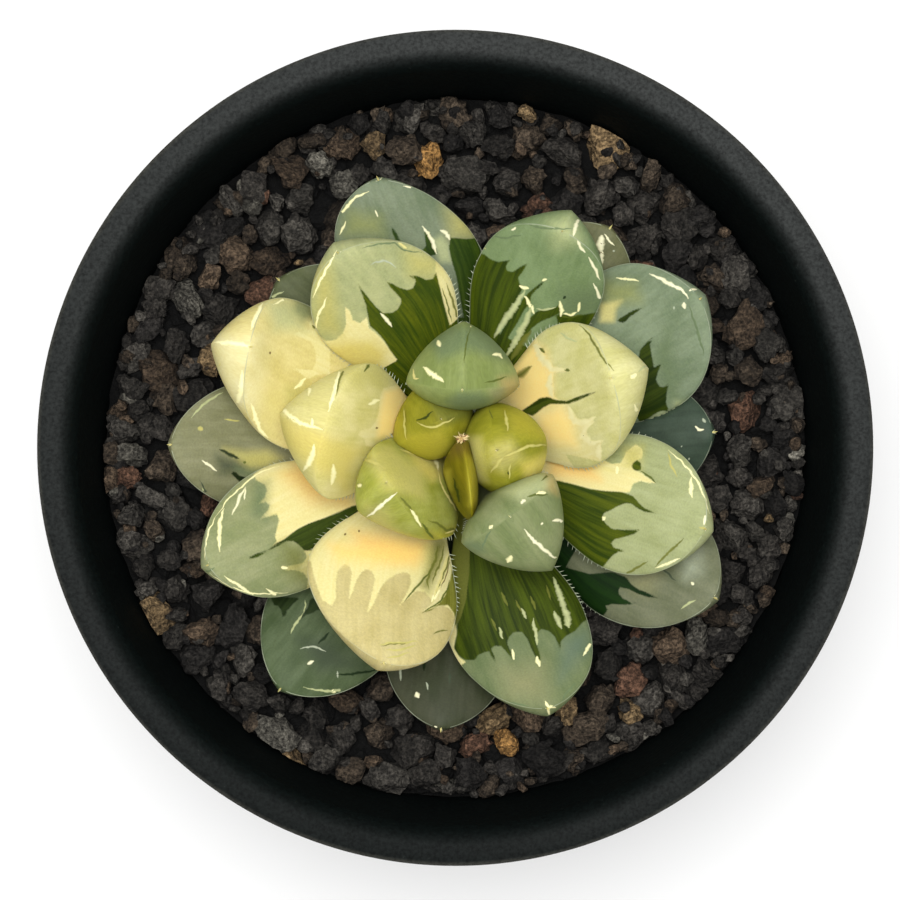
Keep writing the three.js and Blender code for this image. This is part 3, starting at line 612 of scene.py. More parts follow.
            [(249, 557), (258, 553), (268, 550), (275, 544), (285, 539), (291, 534), (298, 529), (310, 523),
             (325, 518), (340, 512), (352, 506), (380, 500), (380, 520), (352, 525), (345, 530), (338, 532),
             (330, 540), (322, 546), (315, 550), (305, 551), (299, 545), (293, 541), (287, 541), (278, 546),
             (268, 551), (258, 557), (250, 559)],
        ],
        greens=((66, 84, 14), (44, 60, 6)),
        blush=[
            ("apricot", 16, [(300, 462), (345, 482), (348, 505), (310, 500), (285, 475)]),
            ("olive", 16, [(285, 545), (306, 550), (306, 585), (285, 570)]),
            ("sage", 10, [(255, 484), (268, 482), (266, 520), (252, 515)]),
        ],
        lines=[
            ("white", 3.2, [(246, 487), (240, 496), (236, 507), (232, 515)]),
            ("bright", 4.2, [(224, 508), (220, 521), (219, 536), (220, 552)]),
            ("bright", 3.2, [(224, 576), (235, 583), (246, 590), (259, 598)]),
            ("bright", 3.2, [(266, 588), (275, 594), (289, 599)]),
            ("white", 2.2, [(246, 488), (244, 500)]),
            ("bright", 3.6, [(281, 567), (288, 568)]),
            ("sage", 2.4, [(203, 571), (209, 572), (215, 568)]),
            ("bright", 1.8, [(280, 466), (267, 469), (254, 476), (240, 488), (227, 501), (216, 516)]),
            ("bright", 1.8, [(216, 516), (208, 532), (205, 548), (205, 560)]),
            ("bright", 1.5, [(209, 573), (219, 580), (231, 587), (244, 591.5), (257, 594), (288, 592.5)]),
        ],
    ),
    16: dict(
        window=((151, 166, 135), (126, 143, 111)), base=0.4, base_kind="green",
        green=[
            [(616, 321), (625, 315), (632, 311), (644, 306), (637, 312), (630, 317), (624, 323)],
            [(662, 362), (658, 372), (656, 380), (660, 387), (664, 387), (669, 383), (667, 392), (666, 402),
             (669, 411), (660, 411), (652, 416), (640, 424), (630, 400), (640, 350), (648, 341), (653, 337),
             (650, 345), (654, 368)],
            [(630, 440), (655, 432), (670, 427), (680, 421), (672, 428), (655, 436), (640, 444)],
        ],
        greens=((64, 80, 12), (36, 54, 4)),
        blush=[
            ("leek", 12, [(602, 282), (635, 284), (640, 300), (605, 305)]),
            ("cream", 4, [(600, 304), (622, 300), (616, 309), (614, 322), (600, 322)]),
            ("pale", 5, [(638, 424), (652, 416), (664, 410), (676, 415), (672, 425), (650, 431), (636, 438)]),
            ("sage", 10, [(668, 330), (680, 400), (668, 405), (655, 360)]),
            ("pale", 7, [(676, 402), (690, 404), (684, 416), (672, 414)]),
        ],
        lines=[
            ("bright", 3.0, [(616, 278), (627, 279), (639, 281)]),
            ("white", 4.0, [(649, 274), (661, 279), (672, 285), (682, 290), (686, 294), (688, 299)]),
            ("white", 4.4, [(684, 302), (685, 309)]),
            ("white", 2.6, [(689, 291), (697, 289)]),
            ("mist", 3.4, [(673, 308), (675, 308)]),
            ("sage", 2.6, [(689, 303), (692, 315), (697, 330), (702, 346), (704, 356)]),
            ("bright", 2.4, [(688, 277), (694, 280)]),
        ],
    ),
    17: dict(
        window=((142, 154, 126), (120, 135, 104)), base=0.36, base_kind="green",
        green=[
            [(450, 238), (456, 238), (465, 239), (479, 238), (482, 260), (480, 340), (465, 325), (459, 292),
             (456, 275), (452, 262), (449, 248)],
            [(392, 226), (396, 232), (401, 242), (396, 241), (392, 232)],
            [(424, 232), (430, 235), (433, 244), (438, 254), (430, 256), (422, 251), (426, 246), (425, 238)],
        ],
        greens=((74, 96, 22), (44, 68, 10)),
        blush=[
            ("straw", 16, [(448, 205), (474, 215), (478, 236), (452, 236)]),
            ("leek", 14, [(350, 212), (380, 218), (382, 234), (345, 234)]),
            ("pale", 5, [(433, 240), (441, 236), (449, 246), (452, 262), (440, 262)]),
        ],
        lines=[
            ("bright", 3.2, [(369, 191), (356, 197), (346, 208), (337, 216), (334, 226), (333, 238)]),
            ("bright", 2.4, [(346, 221), (340, 235)]),
            ("white", 2.6, [(403, 186), (416, 188), (428, 192)]),
            ("white", 2.4, [(375, 210), (378, 217)]),
            ("white", 4.4, [(422, 226), (428, 233), (433, 243), (437, 254)]),
            ("white", 4.4, [(440, 230), (446, 233), (450, 240)]),
            ("sage", 2.4, [(334, 240), (336, 246), (339, 250)]),
        ],
    ),
    18: dict(
        window=((135, 139, 110), (113, 119, 89)), base=0.4, base_kind="green",
        green=[
            [(540, 560), (575, 570), (590, 574), (612, 572), (626, 577), (631, 584), (638, 589), (648, 593),
             (659, 598), (648, 597), (638, 594), (628, 589), (620, 587), (618, 592), (622, 598), (630, 602),
             (637, 603), (628, 605), (612, 604), (605, 606), (608, 610), (603, 616), (590, 616), (570, 600)],
        ],
        greens=((26, 58, 10), (12, 40, 4)),
        blush=[
            ("dusk", 16, [(628, 578), (655, 575), (650, 590), (636, 588)]),
            ("mist", 14, [(682, 558), (700, 552), (700, 572), (686, 578)]),
        ],
        lines=[
            ("shade", 3.0, [(662, 567), (668, 574), (676, 581)]),
            ("white", 3.4, [(691, 582), (694, 585)]),
            ("pale", 2.6, [(681, 609), (689, 603), (696, 600)]),
        ],
    ),
    19: dict(
        window=((158, 158, 122), (134, 135, 97)), base=0.4, base_kind="green",
        green=[
            [(231, 474), (234, 471), (240, 476), (252, 479), (268, 475), (300, 470), (300, 500), (246, 492),
             (238, 480)],
        ],
        greens=((52, 64, 16), (26, 40, 6)),
        blush=[
            ("straw", 7, [
                (224, 449), (245, 452), (268, 450), (282, 458), (268, 467), (248, 470), (236, 458),
            ]),
            ("shade", 10, [(216, 455), (236, 462), (246, 470), (220, 474)]),
            ("sage", 8, [(236, 468), (262, 471), (250, 478), (240, 475)]),
        ],
        lines=[
            ("night", 4.4, [(219, 449), (229, 454), (239, 459)]),
            ("moss", 4.0, [(243, 462), (246, 463)]),
            ("white", 3.0, [(202, 460), (210, 466), (217, 471)]),
            ("straw", 4.5, [(198, 427), (203, 430)]),
            ("shade", 2.8, [(200, 480), (207, 493), (214, 505), (221, 514)]),
            ("straw", 2.0, [(224, 419), (240, 421)]),
            ("pale", 2.8, [(223, 392), (211, 399), (203, 405), (196, 412), (191, 418)]),
            ("pale", 2.2, [(202, 488), (206, 494)]),
        ],
    ),
    20: dict(
        window=((102, 117, 84), (78, 95, 59)), base=0.6, base_kind="green",
        greens=((52, 70, 30), (30, 46, 14)),
        green=[
            [(270, 596), (300, 598), (293, 604), (289, 609), (286, 611), (287, 614), (283, 618),
             (281, 610), (278, 606), (274, 605)],
            [(300, 620), (304, 613), (308, 607), (310, 598), (330, 600), (326, 612), (318, 609),
             (313, 613), (306, 615)],
        ],
        blush=[("shade", 12, [(300, 640), (330, 640), (360, 668), (320, 672)])],
        lines=[
            ("pale", 2.8, [(291, 634), (295, 624), (303, 613)]),
            ("pale", 1.8, [(303, 613), (306, 605), (305, 600)]),
            ("night", 3.4, [(318, 644), (325, 637), (329, 632)]),
            ("night", 3.2, [(336, 675), (350, 674), (366, 672), (380, 669)]),
            ("pale", 3.0, [(303, 687), (315, 690), (330, 691), (345, 690), (359, 686), (373, 678)]),
            ("bright", 4.4, [(331, 691), (336, 692)]),
            ("mist", 2.2, [(300, 649), (310, 646), (319, 648), (326, 652)]),
            ("white", 3.6, [(307, 664), (314, 661)]),
            ("mist", 2.0, [(337, 671), (338, 678)]),
        ],
    ),
    21: dict(
        window=((79, 82, 62), (62, 69, 45)), base=0.5, base_kind="green",
        greens=((48, 64, 26), (28, 42, 12)),
        lines=[
            ("night", 4.0, [(424, 650), (424, 660), (424, 671)]),
            ("mist", 2.8, [(400, 666), (401, 681)]),
            ("white", 5.2, [(416, 692), (419, 698)]),
            ("shade", 3.0, [(449, 672), (450, 684)]),
            ("mist", 2.2, [(426, 682), (428, 690)]),
            ("white", 2.0, [(427, 724), (430, 726)]),
            ("white", 2.0, [(434, 726), (437, 728)]),
        ],
    ),
    22: dict(
        window=((76, 92, 77), (57, 73, 58)), base=0.5, base_kind="green",
        greens=((44, 62, 30), (26, 42, 14)),
        lines=[
            ("white", 3.0, [(695, 426), (699, 430), (704, 429)]),
            ("mist", 3.0, [(703, 418), (705, 423)]),
            ("mist", 2.6, [(681, 446), (682, 447)]),
            ("mist", 2.2, [(688, 459), (690, 459)]),
        ],
    ),
    23: dict(
        window=((131, 132, 97), (110, 112, 76)), base=0.4, base_kind="green",
        greens=((58, 70, 30), (34, 48, 14)),
        lines=[
            ("white", 8.0, [(602, 235), (600, 244), (601, 252)]),
            ("white", 5.0, [(602, 250), (601, 260), (599, 270)]),
            ("brown", 2.4, [(600, 243), (602, 244)]),
            ("brown", 2.4, [(601, 252), (603, 254)]),
            ("white", 2.4, [(604, 234), (609, 240), (614, 246)]),
            ("mist", 2.4, [(613, 250), (614, 252)]),
        ],
    ),
    24: dict(
        window=((112, 118, 86), (90, 98, 62)), base=0.4, base_kind="green",
        greens=((58, 70, 30), (34, 48, 14)),
        lines=[("pale", 2.6, [(263, 303), (272, 297), (284, 291)])],
    ),
}


# Shader nodes


class Wire:
    """A socket of a node tree; arithmetic on it adds Math nodes."""

    def __init__(self, tree, socket):
        self.tree = tree
        self.socket = socket

    def maths(self, operation, *values):
        return self.tree.node("ShaderNodeMath", {"operation": operation}, dict(enumerate(values)))

    def __add__(self, other):
        return self.maths("ADD", self, other)

    def __sub__(self, other):
        return self.maths("SUBTRACT", self, other)

    def __mul__(self, other):
        return self.maths("MULTIPLY", self, other)

    def __truediv__(self, other):
        return self.maths("DIVIDE", self, other)

    def __pow__(self, other):
        return self.maths("POWER", self, other)

    def __rsub__(self, other):
        return self.maths("SUBTRACT", other, self)

    def __rtruediv__(self, other):
        return self.maths("DIVIDE", other, self)

    def __rpow__(self, other):
        return self.maths("POWER", other, self)

    __radd__ = __add__
    __rmul__ = __mul__

    def clamped(self):
        return self.maths("MINIMUM", self.maths("MAXIMUM", self, 0.0), 1.0)


class Finish:
    """A material under construction."""

    def __init__(self, name):
        self.material = bpy.data.materials.new(name)
        self.material.use_nodes = True
        self.tree = self.material.node_tree
        self.tree.nodes.clear()

    def node(self, kind, settings=None, inputs=None, output=0):
        """Adds a node; its settings are set first, then its inputs, which are values or wires."""
        made = self.tree.nodes.new(kind)
        for key, value in (settings or {}).items():
            if key == "stops":
                ramp = made.color_ramp
                while len(ramp.elements) < len(value):
                    ramp.elements.new(0.5)
                for element, (place, colour) in zip(ramp.elements, value):
                    element.position = place
                    element.color = colour
            else:
                setattr(made, key, value)
        for key, value in (inputs or {}).items():
            if isinstance(value, Wire):
                self.tree.links.new(value.socket, made.inputs[key])
            else:
                made.inputs[key].default_value = value
        return Wire(self, made.outputs[output]) if len(made.outputs) else None

    def attribute(self, name, output="Fac"):
        return self.node("ShaderNodeAttribute", {"attribute_name": name}, output=output)

    def noise(self, vector, scale, detail=2.0, roughness=0.5):
        return self.node(
            "ShaderNodeTexNoise", {},
            {"Vector": vector, "Scale": scale, "Detail": detail, "Roughness": roughness},
        )

    def ramp(self, factor, stops):
        return self.node("ShaderNodeValToRGB", {"stops": stops}, {0: factor})

    def mix(self, factor, first, second, blend="MIX"):
        settings = {"data_type": "RGBA", "blend_type": blend, "clamp_factor": True}
        return self.node("ShaderNodeMix", settings, {0: factor, 6: first, 7: second}, output=2)

    def stretched(self, vector, scale):
        """A vector times a scale for each direction."""
        return self.node("ShaderNodeVectorMath", {"operation": "MULTIPLY"}, {0: vector, 1: scale})

    def bump(self, height, strength, distance):
        return self.node(
            "ShaderNodeBump", {}, {"Height": height, "Strength": strength, "Distance": distance})

    def close(self, **inputs):
        """Ends the material; inputs are the shader's, with _ for each space in their names."""
        sockets = {key.replace("_", " "): value for key, value in inputs.items()}
        shader = self.node("ShaderNodeBsdfPrincipled", {}, sockets)
        self.node("ShaderNodeOutputMaterial", {}, {0: shader})
        return self.material


USUAL_GREENS = ((84, 98, 24), (48, 64, 8))


def leaf_skin(number, marks):
    """Skin of one leaf: a translucent window with opaque cream and striped green parts."""
    skin = Finish(f"leaf_skin_{number:02d}")
    grain = skin.attribute("grain", "Vector")
    mottle = skin.noise(skin.stretched(grain, (0.5, 0.2, 1)), 1.0, 3.0, 0.55)
    veins = skin.noise(skin.stretched(grain, (2.2, 0.12, 1)), 1.0, 2.0, 0.5)
    specks = skin.noise(grain, 4.5, 3.0, 0.6)
    light, dark = [linear(c) for c in marks["window"]]
    share = skin.ramp(mottle * 0.75 + veins * 0.25, [(0.36, (0, 0, 0, 1)), (0.62, (1, 1, 1, 1))])
    colour = skin.mix(share, dark, light)
    wobble = (specks - 0.5) * 2.4
    cream = (skin.attribute("cream") * 0.6 + wobble * 0.5 + 0.5).clamped()
    ivory = skin.mix(veins, linear(PAINT["cream"]), linear(PAINT["ivory"]))
    colour = skin.mix(cream, colour, ivory)
    colour = skin.mix(skin.attribute("blush_amount"), colour, skin.attribute("blush", "Color"))
    streaks = skin.noise(skin.stretched(grain, (1.9, 0.09, 1)), 1.0, 3.0, 0.6)
    greens = [linear(c) for c in marks.get("greens", USUAL_GREENS)]
    green = skin.mix(skin.ramp(streaks, [(0.38, (0, 0, 0, 1)), (0.66, (1, 1, 1, 1))]), greens[1], greens[0])
    opaque = (skin.attribute("green") * 0.7 + wobble * 0.7 + 0.5).clamped()
    colour = skin.mix(opaque, colour, green)
    freckles = skin.ramp(specks, [(0.35, (0.3, 0.3, 0.26, 1)), (0.65, (1, 1, 0.9, 1))])
    colour = skin.mix(0.12, colour, freckles, "OVERLAY")
    fine = skin.noise(grain, 7.0, 3.0, 0.6)
    relief = skin.bump(veins * 0.4 + fine * 0.6, 0.3, 0.00005)
    glassy = number <= GLASSY_LEAVES
    return skin.close(
        Base_Color=colour,
        Roughness=0.44 + 0.12 * mottle + 0.1 * opaque,
        Specular_IOR_Level=0.14,
        Subsurface_Weight=0.8 if glassy else 0.3,
        Subsurface_Radius=(1.0, 0.85, 0.45),
        Subsurface_Scale=0.0045 if glassy else 0.0016,
        Normal=relief,
    )


def rib_finish():
    """Veins, ribs, keels and margins take the colour of their own stroke."""
    rib = Finish("leaf_ribs")
    place = rib.node("ShaderNodeTexCoord", output=3)
    worn = rib.noise(place, 1600.0, 2.0)
    uneven = rib.ramp(worn, [(0.3, (0.4, 0.4, 0.34, 1)), (0.7, (0.9, 0.9, 0.8, 1))])
    colour = rib.mix(0.2, rib.attribute("tint", "Color"), uneven, "OVERLAY")
    return rib.close(Base_Color=colour, Roughness=0.52, Specular_IOR_Level=0.14)


def gravel_finish():
    """Porous grains, each in its own colour."""
    gravel = Finish("porous_gravel")
    place = gravel.node("ShaderNodeTexCoord", output=3)
    pits = gravel.node("ShaderNodeTexVoronoi", {"feature": "F1"}, {"Vector": place, "Scale": 1900.0})
    coarse = gravel.noise(place, 900.0, 5.0, 0.75)
    fine = gravel.noise(place, 2600.0, 3.0, 0.7)
    stone = gravel.attribute("stone", "Color")
    tone = gravel.ramp(coarse * 0.45 + fine * 0.55, [
        (0.4, (0.16, 0.155, 0.15, 1)), (0.5, (0.6, 0.59, 0.57, 1)), (0.6, (1.5, 1.47, 1.42, 1)),
    ])
    colour = gravel.mix(0.95, stone, tone, "MULTIPLY")
    # Painted shade: the pores of the grains are darkened.
    holes = gravel.ramp(pits, [(0.12, (0.2, 0.19, 0.18, 1)), (0.34, (1, 1, 1, 1))])
    colour = gravel.mix(0.75, colour, holes, "MULTIPLY")
    relief = gravel.bump(coarse * 0.4 + fine * 0.4 + pits * 0.5, 1.0, 0.0007)
    return gravel.close(
        Base_Color=colour, Roughness=0.8 + 0.15 * fine, Specular_IOR_Level=0.25, Normal=relief)


def pot_finish():
    """Black plastic with painted light and shade: a grey rim top, paler towards the light and darkening where
    it rolls into the pot, a highlight on the outer edge, and a blacker inside.
    """
    pot = Finish("pot_plastic")
    place = pot.node("ShaderNodeTexCoord", output=3)
    leathery = pot.node("ShaderNodeTexVoronoi", {"feature": "F1"}, {"Vector": place, "Scale": 1100.0})
    cloudy = pot.noise(place, 60.0, 4.0)
    dust = pot.noise(place, 2600.0, 3.0, 0.7)
    height = pot.node("ShaderNodeSeparateXYZ", {}, {0: place}, output=2)
    flat = pot.stretched(place, (1, 1, 0))
    radius = pot.node("ShaderNodeVectorMath", {"operation": "LENGTH"}, {0: flat}, output=1)
    black, pale = (0.0012, 0.0026, 0.0024, 1), (0.034, 0.034, 0.028, 1)
    upper = ((height - (POT_HEIGHT - 1.9) * MM) / (1.2 * MM)).clamped()
    # Painted shade: the rim's grey top darkens towards black as the rim rolls down into the pot; cloudy noise
    # makes the line uneven.
    worn = ((radius - (RIM_RADIUS - 4.05) * MM) / (1.75 * MM) + (cloudy - 0.5) * 0.3).clamped() ** 2.0
    # Painted shade: the inside of the pot is painted blacker than its outside.
    through = (radius - height * INNER_TAPER - (inner_radius_at(0) + POT_WALL / 2) * MM) / (0.4 * MM)
    outside = through.clamped() * (((POT_HEIGHT - 1.6) * MM - height) / (0.4 * MM)).clamped()
    side = pot.mix(outside, black, (0.009, 0.01, 0.0098, 1))
    # Painted light: the rim's top is paler on the side that faces the light.
    light_direction = (0.15, 0.5, 0)
    towards_light = pot.node(
        "ShaderNodeVectorMath", {"operation": "DOT_PRODUCT"}, {0: place, 1: light_direction}, output=1)
    dull, bright = (0.006, 0.0074, 0.007, 1), (0.027, 0.029, 0.028, 1)
    grey = pot.mix((towards_light / (RIM_RADIUS * MM) + 0.5).clamped(), dull, bright)
    colour = pot.mix(upper * worn, side, grey)
    # Painted highlight along the rim's outer edge.
    edge_highlight = ((radius - (RIM_RADIUS - 0.55) * MM) / (0.4 * MM) + (cloudy - 0.5) * 1.2).clamped()
    colour = pot.mix(edge_highlight * upper * 0.8, colour, pale)
    specks = pot.ramp(dust, [(0.70, (0, 0, 0, 1)), (0.77, (1, 1, 1, 1))])
    colour = pot.mix(specks * 0.22, colour, (0.09, 0.09, 0.08, 1))
    scuffs = pot.noise(pot.stretched(place, (1, 1, 7)), 260.0, 3.0)
    leather = pot.ramp(leathery * 0.12 + dust * 0.88, [
        (0.36, (0.55, 0.55, 0.55, 1)), (0.6, (1.5, 1.5, 1.5, 1)),
    ])
    colour = pot.mix(0.85, colour, leather, "MULTIPLY")
    relief = pot.bump(leathery * 0.5 + dust * 0.2 + scuffs * 0.3, 0.7, 0.0002)
    return pot.close(Base_Color=colour, Roughness=0.6 + 0.2 * cloudy, Specular_IOR_Level=0.08, Normal=relief)


def stem_finish():
    """Dry skin of the stem and roots, with rings round them."""
    stem = Finish("stem_and_roots")
    place = stem.node("ShaderNodeTexCoord", output=3)
    rings = stem.noise(stem.stretched(place, (1, 1, 5)), 300.0, 3.0)
    colour = stem.mix(rings, (0.22, 0.15, 0.07, 1), (0.55, 0.47, 0.3, 1))
    return stem.close(Base_Color=colour, Roughness=0.7, Normal=stem.bump(rings, 0.5, 0.0002))


def floor_finish():
    floor = Finish("pale_table")
    place = floor.node("ShaderNodeTexCoord", output=3)
    clouds = floor.noise(place, 6.0, 2.0)
    return floor.close(Base_Color=floor.mix(clouds, (0.86, 0.86, 0.85, 1), (0.9, 0.9, 0.9, 1)), Roughness=0.8)


# Meshes


def mesh_object(name, vertices_mm, faces, materials):
    """A smooth piece from places in millimetres; materials are its slots."""
    mesh = bpy.data.meshes.new(name)
    mesh.from_pydata((np.asarray(vertices_mm) * MM).tolist(), [], [tuple(int(i) for i in f) for f in faces])
    for material in materials:
        mesh.materials.append(material)
    mesh.polygons.foreach_set("use_smooth", [True] * len(mesh.polygons))
    mesh.update()
    piece = bpy.data.objects.new(name, mesh)
    bpy.context.scene.collection.objects.link(piece)
    return piece


def dress(piece, slot, *nodes):
    """Puts a piece on the one body, in place of the CAD nodes that it stands for."""
    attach(piece, "root")
    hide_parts(*nodes)


def put_values(mesh, name, kind, field, values):
    """Writes a named value on each vertex of a mesh."""
    layer = mesh.attributes.new(name, kind, "POINT")
    layer.data.foreach_set(field, np.asarray(values, np.float32).ravel())


def put_floats(mesh, name, values):
    put_values(mesh, name, "FLOAT", "value", values)


def put_vectors(mesh, name, values):
    put_values(mesh, name, "FLOAT_VECTOR", "vector", values)


def put_colours(mesh, name, values):
    put_values(mesh, name, "FLOAT_COLOR", "color", values)


# Photograph pixels and places


def on_photo(places):
    """Pixels at which places in millimetres are seen."""
    scale = LENS_OVER_RIM / (LENS[2] - places[..., 2]) / PIXEL
    return np.stack([
        PHOTO_MIDDLE + (places[..., 0] - LENS[0]) * scale,
        PHOTO_MIDDLE - (places[..., 1] - LENS[1]) * scale,
    ], axis=-1)


def sight(pixel):
    """Direction from the lens through a pixel."""
    aside, up = (pixel[0] - PHOTO_MIDDLE) * PIXEL, (PHOTO_MIDDLE - pixel[1]) * PIXEL
    return Vector((aside, up, -LENS_OVER_RIM)).normalized()


def inside_by(pixels, outline):
    """How many pixels each point lies inside an outline; outside it is negative."""
    corners = np.asarray(outline, float)
    following = np.roll(corners, -1, axis=0)
    x, y = pixels[:, 0], pixels[:, 1]
    nearest = np.full(len(pixels), 1e9)
    inside = np.zeros(len(pixels), bool)
    for (ax, ay), (bx, by) in zip(corners, following):
        run = (bx - ax) ** 2 + (by - ay) ** 2 + 1e-9
        share = np.clip(((x - ax) * (bx - ax) + (y - ay) * (by - ay)) / run, 0, 1)
        nearest = np.minimum(nearest, np.hypot(x - ax - share * (bx - ax), y - ay - share * (by - ay)))
        crosses = (ay > y) != (by > y)
        inside ^= crosses & (x < (bx - ax) * (y - ay) / (by - ay + 1e-12) + ax)
    return np.where(inside, nearest, -nearest)


# Leaves

# Sizes of a leaf's cells, and the soft unevenness of its skin, in millimetres
FINE_CELL = 0.23
COARSE_CELL = 0.27
WAVE_RATE = 0.16
WAVE_HEIGHT = 0.22


def smooth_share(t):
    """A share from 0 to 1 that starts and ends softly."""
    t = np.clip(t, 0, 1)
    return t * t * (3 - 2 * t)


def swell(u, peak, at_seat, roundness):
    """Share of full size along a leaf."""
    q = np.clip((u - peak) / (1 - peak), 0, 1)
    rising = at_seat + (1 - at_seat) * smooth_share(u / peak)
    return np.where(u < peak, rising, np.maximum(1 - q ** 2.2, 0) ** roundness)


def leaf_places(leaf, u, v):
    """Places on a leaf: u runs from its seat to its point and v round its section."""
    turn = math.radians(leaf["seat"] - leaf["face"])
    start = np.array([leaf["seat_radius"] * math.cos(turn), leaf["root"]])
    end = np.array([leaf["reach"], leaf["top"]], float)
    handle = 0.38 * np.hypot(*(end - start))
    rise, tip = math.radians(leaf["rise"]), math.radians(leaf["tip"])
    corners = np.array([
        start,
        start + handle * np.array([math.cos(rise), math.sin(rise)]),
        end - handle * np.array([math.cos(tip), math.sin(tip)]),
        end,
    ])
    u, v = np.broadcast_arrays(np.asarray(u, float), np.asarray(v, float))
    w = 1 - u
    weights = np.stack([w ** 3, 3 * w * w * u, 3 * w * u * u, u ** 3], axis=-1)
    middle = weights @ corners
    slopes = np.stack([w * w, 2 * w * u, u * u], axis=-1)
    ahead = slopes @ np.diff(corners, axis=0)
    ahead /= np.linalg.norm(ahead, axis=-1, keepdims=True)
    across = np.cos(v)
    rounding = np.maximum(1 - across ** 2, 0)
    half_width = leaf["width"] / 2 * swell(u, leaf["widest"], leaf["seat_width"], 0.62)
    above = leaf["above"] * swell(u, leaf["widest"], leaf["seat_depth"], 0.62)
    below = leaf["below"] * swell(u, leaf["fullest"], leaf["seat_depth"], 0.5)
    keel = leaf["keel"] * smooth_share((u - 0.4) / 0.4)
    back = (1 - keel) * rounding ** 0.62 + keel * np.maximum(1 - np.abs(across), 0) ** 0.85
    depth = np.where(np.sin(v) > 0, above * rounding ** 0.8, -below * back)
    at_seat = leaf["seat_radius"] * math.sin(turn)
    aside = at_seat + (leaf["aside"] - at_seat) * u ** 1.2 + leaf["bow"] * np.sin(math.pi * u)
    aside = aside + half_width * across
    out = middle[..., 0] - ahead[..., 1] * depth
    height = middle[..., 1] + ahead[..., 0] * depth
    face = math.radians(leaf["face"])
    return np.stack([
        out * math.cos(face) - aside * math.sin(face) + PLANT[0],
        out * math.sin(face) + aside * math.cos(face) + PLANT[1],
        height,
    ], axis=-1)


def spread(places, weight, count):
    """Parameters that cut a run of places into steps of even weighted length."""
    steps = np.linalg.norm(np.diff(places, axis=0), axis=1) * weight
    total = np.concatenate([[0], np.cumsum(steps)])
    return np.interp(np.linspace(0, total[-1], count), total, np.linspace(0, 1, len(total)))


def leaf_grid(leaf, cell):
    """u and v of a leaf's mesh, with cells of even size that are finer where the leaf faces up."""
    fine_u = np.linspace(0, 1, 400)
    margin = leaf_places(leaf, fine_u, 0.6)
    weight = np.where(fine_u[1:] > 0.32, 1.0, 0.35)
    length = (np.linalg.norm(np.diff(margin, axis=0), axis=1) * weight).sum()
    us = spread(margin, weight, int(length / cell))[:-1]
    fine_v = np.linspace(0, 2 * math.pi, 361)
    section = leaf_places(leaf, 0.66, fine_v)
    ahead = leaf_places(leaf, 0.70, fine_v) - section
    outward = np.cross(np.diff(section, axis=0), ahead[1:])
    outward /= np.linalg.norm(outward, axis=1, keepdims=True) + 1e-12
    weight = np.where(outward[:, 2] > 0.05, 1.0, 0.4)
    length = (np.linalg.norm(np.diff(section, axis=0), axis=1) * weight).sum()
    half = len(fine_v) // 2
    parts = []
    for run in (slice(0, half + 1), slice(half, len(fine_v))):
        stretch = section[run]
        pull = weight[run.start:run.start + len(stretch) - 1]
        share = (np.linalg.norm(np.diff(stretch, axis=0), axis=1) * pull).sum() / length
        count = max(12, int(length / cell * share))
        parts.append((run.start / half + spread(stretch, pull, count + 1)[:-1]) * math.pi)
    return us, np.concatenate(parts), len(parts[0])


def press_under(places, younger, lower_face, lies_over):
    """Lets a leaf lie under the younger leaves that rest on it, and over those that it leans across."""
    gap = np.where(lower_face, FIT + 0.35, FIT)
    up, down = Vector((0, 0, 1)), Vector((0, 0, -1))
    pressed = np.zeros(len(places), bool)
    for number, (tree, low, high) in enumerate(younger, start=1):
        near = np.where(
            (places[:, 0] > low[0]) & (places[:, 0] < high[0])
            & (places[:, 1] > low[1]) & (places[:, 1] < high[1]) & (places[:, 2] > low[2] - 1)
        )[0]
        for i in near:
            x, y, z = places[i]
            hit = tree.ray_cast(Vector((x, y, 0)), up)[0]
            if hit is None or hit.z - gap[i] >= z:
                continue
            if number in lies_over:
                roof = tree.ray_cast(Vector((x, y, 200)), down)[0].z
                if z > (hit.z + roof) / 2:
                    continue
            places[i, 2] = hit.z - gap[i]
            pressed[i] = True
    return pressed


def leaf_faces(rows, columns):
    """Quads of a grid that closes round its section, with a fan at the seat and at the point."""
    faces = []
    for i in range(rows - 1):
        for j in range(columns):
            k = (j + 1) % columns
            faces.append((i * columns + j, i * columns + k, (i + 1) * columns + k, (i + 1) * columns + j))
    seat, point = rows * columns, rows * columns + 1
    last = (rows - 1) * columns
    for j in range(columns):
        k = (j + 1) % columns
        faces.append((seat, k, j))
        faces.append((point, last + j, last + k))
    return faces


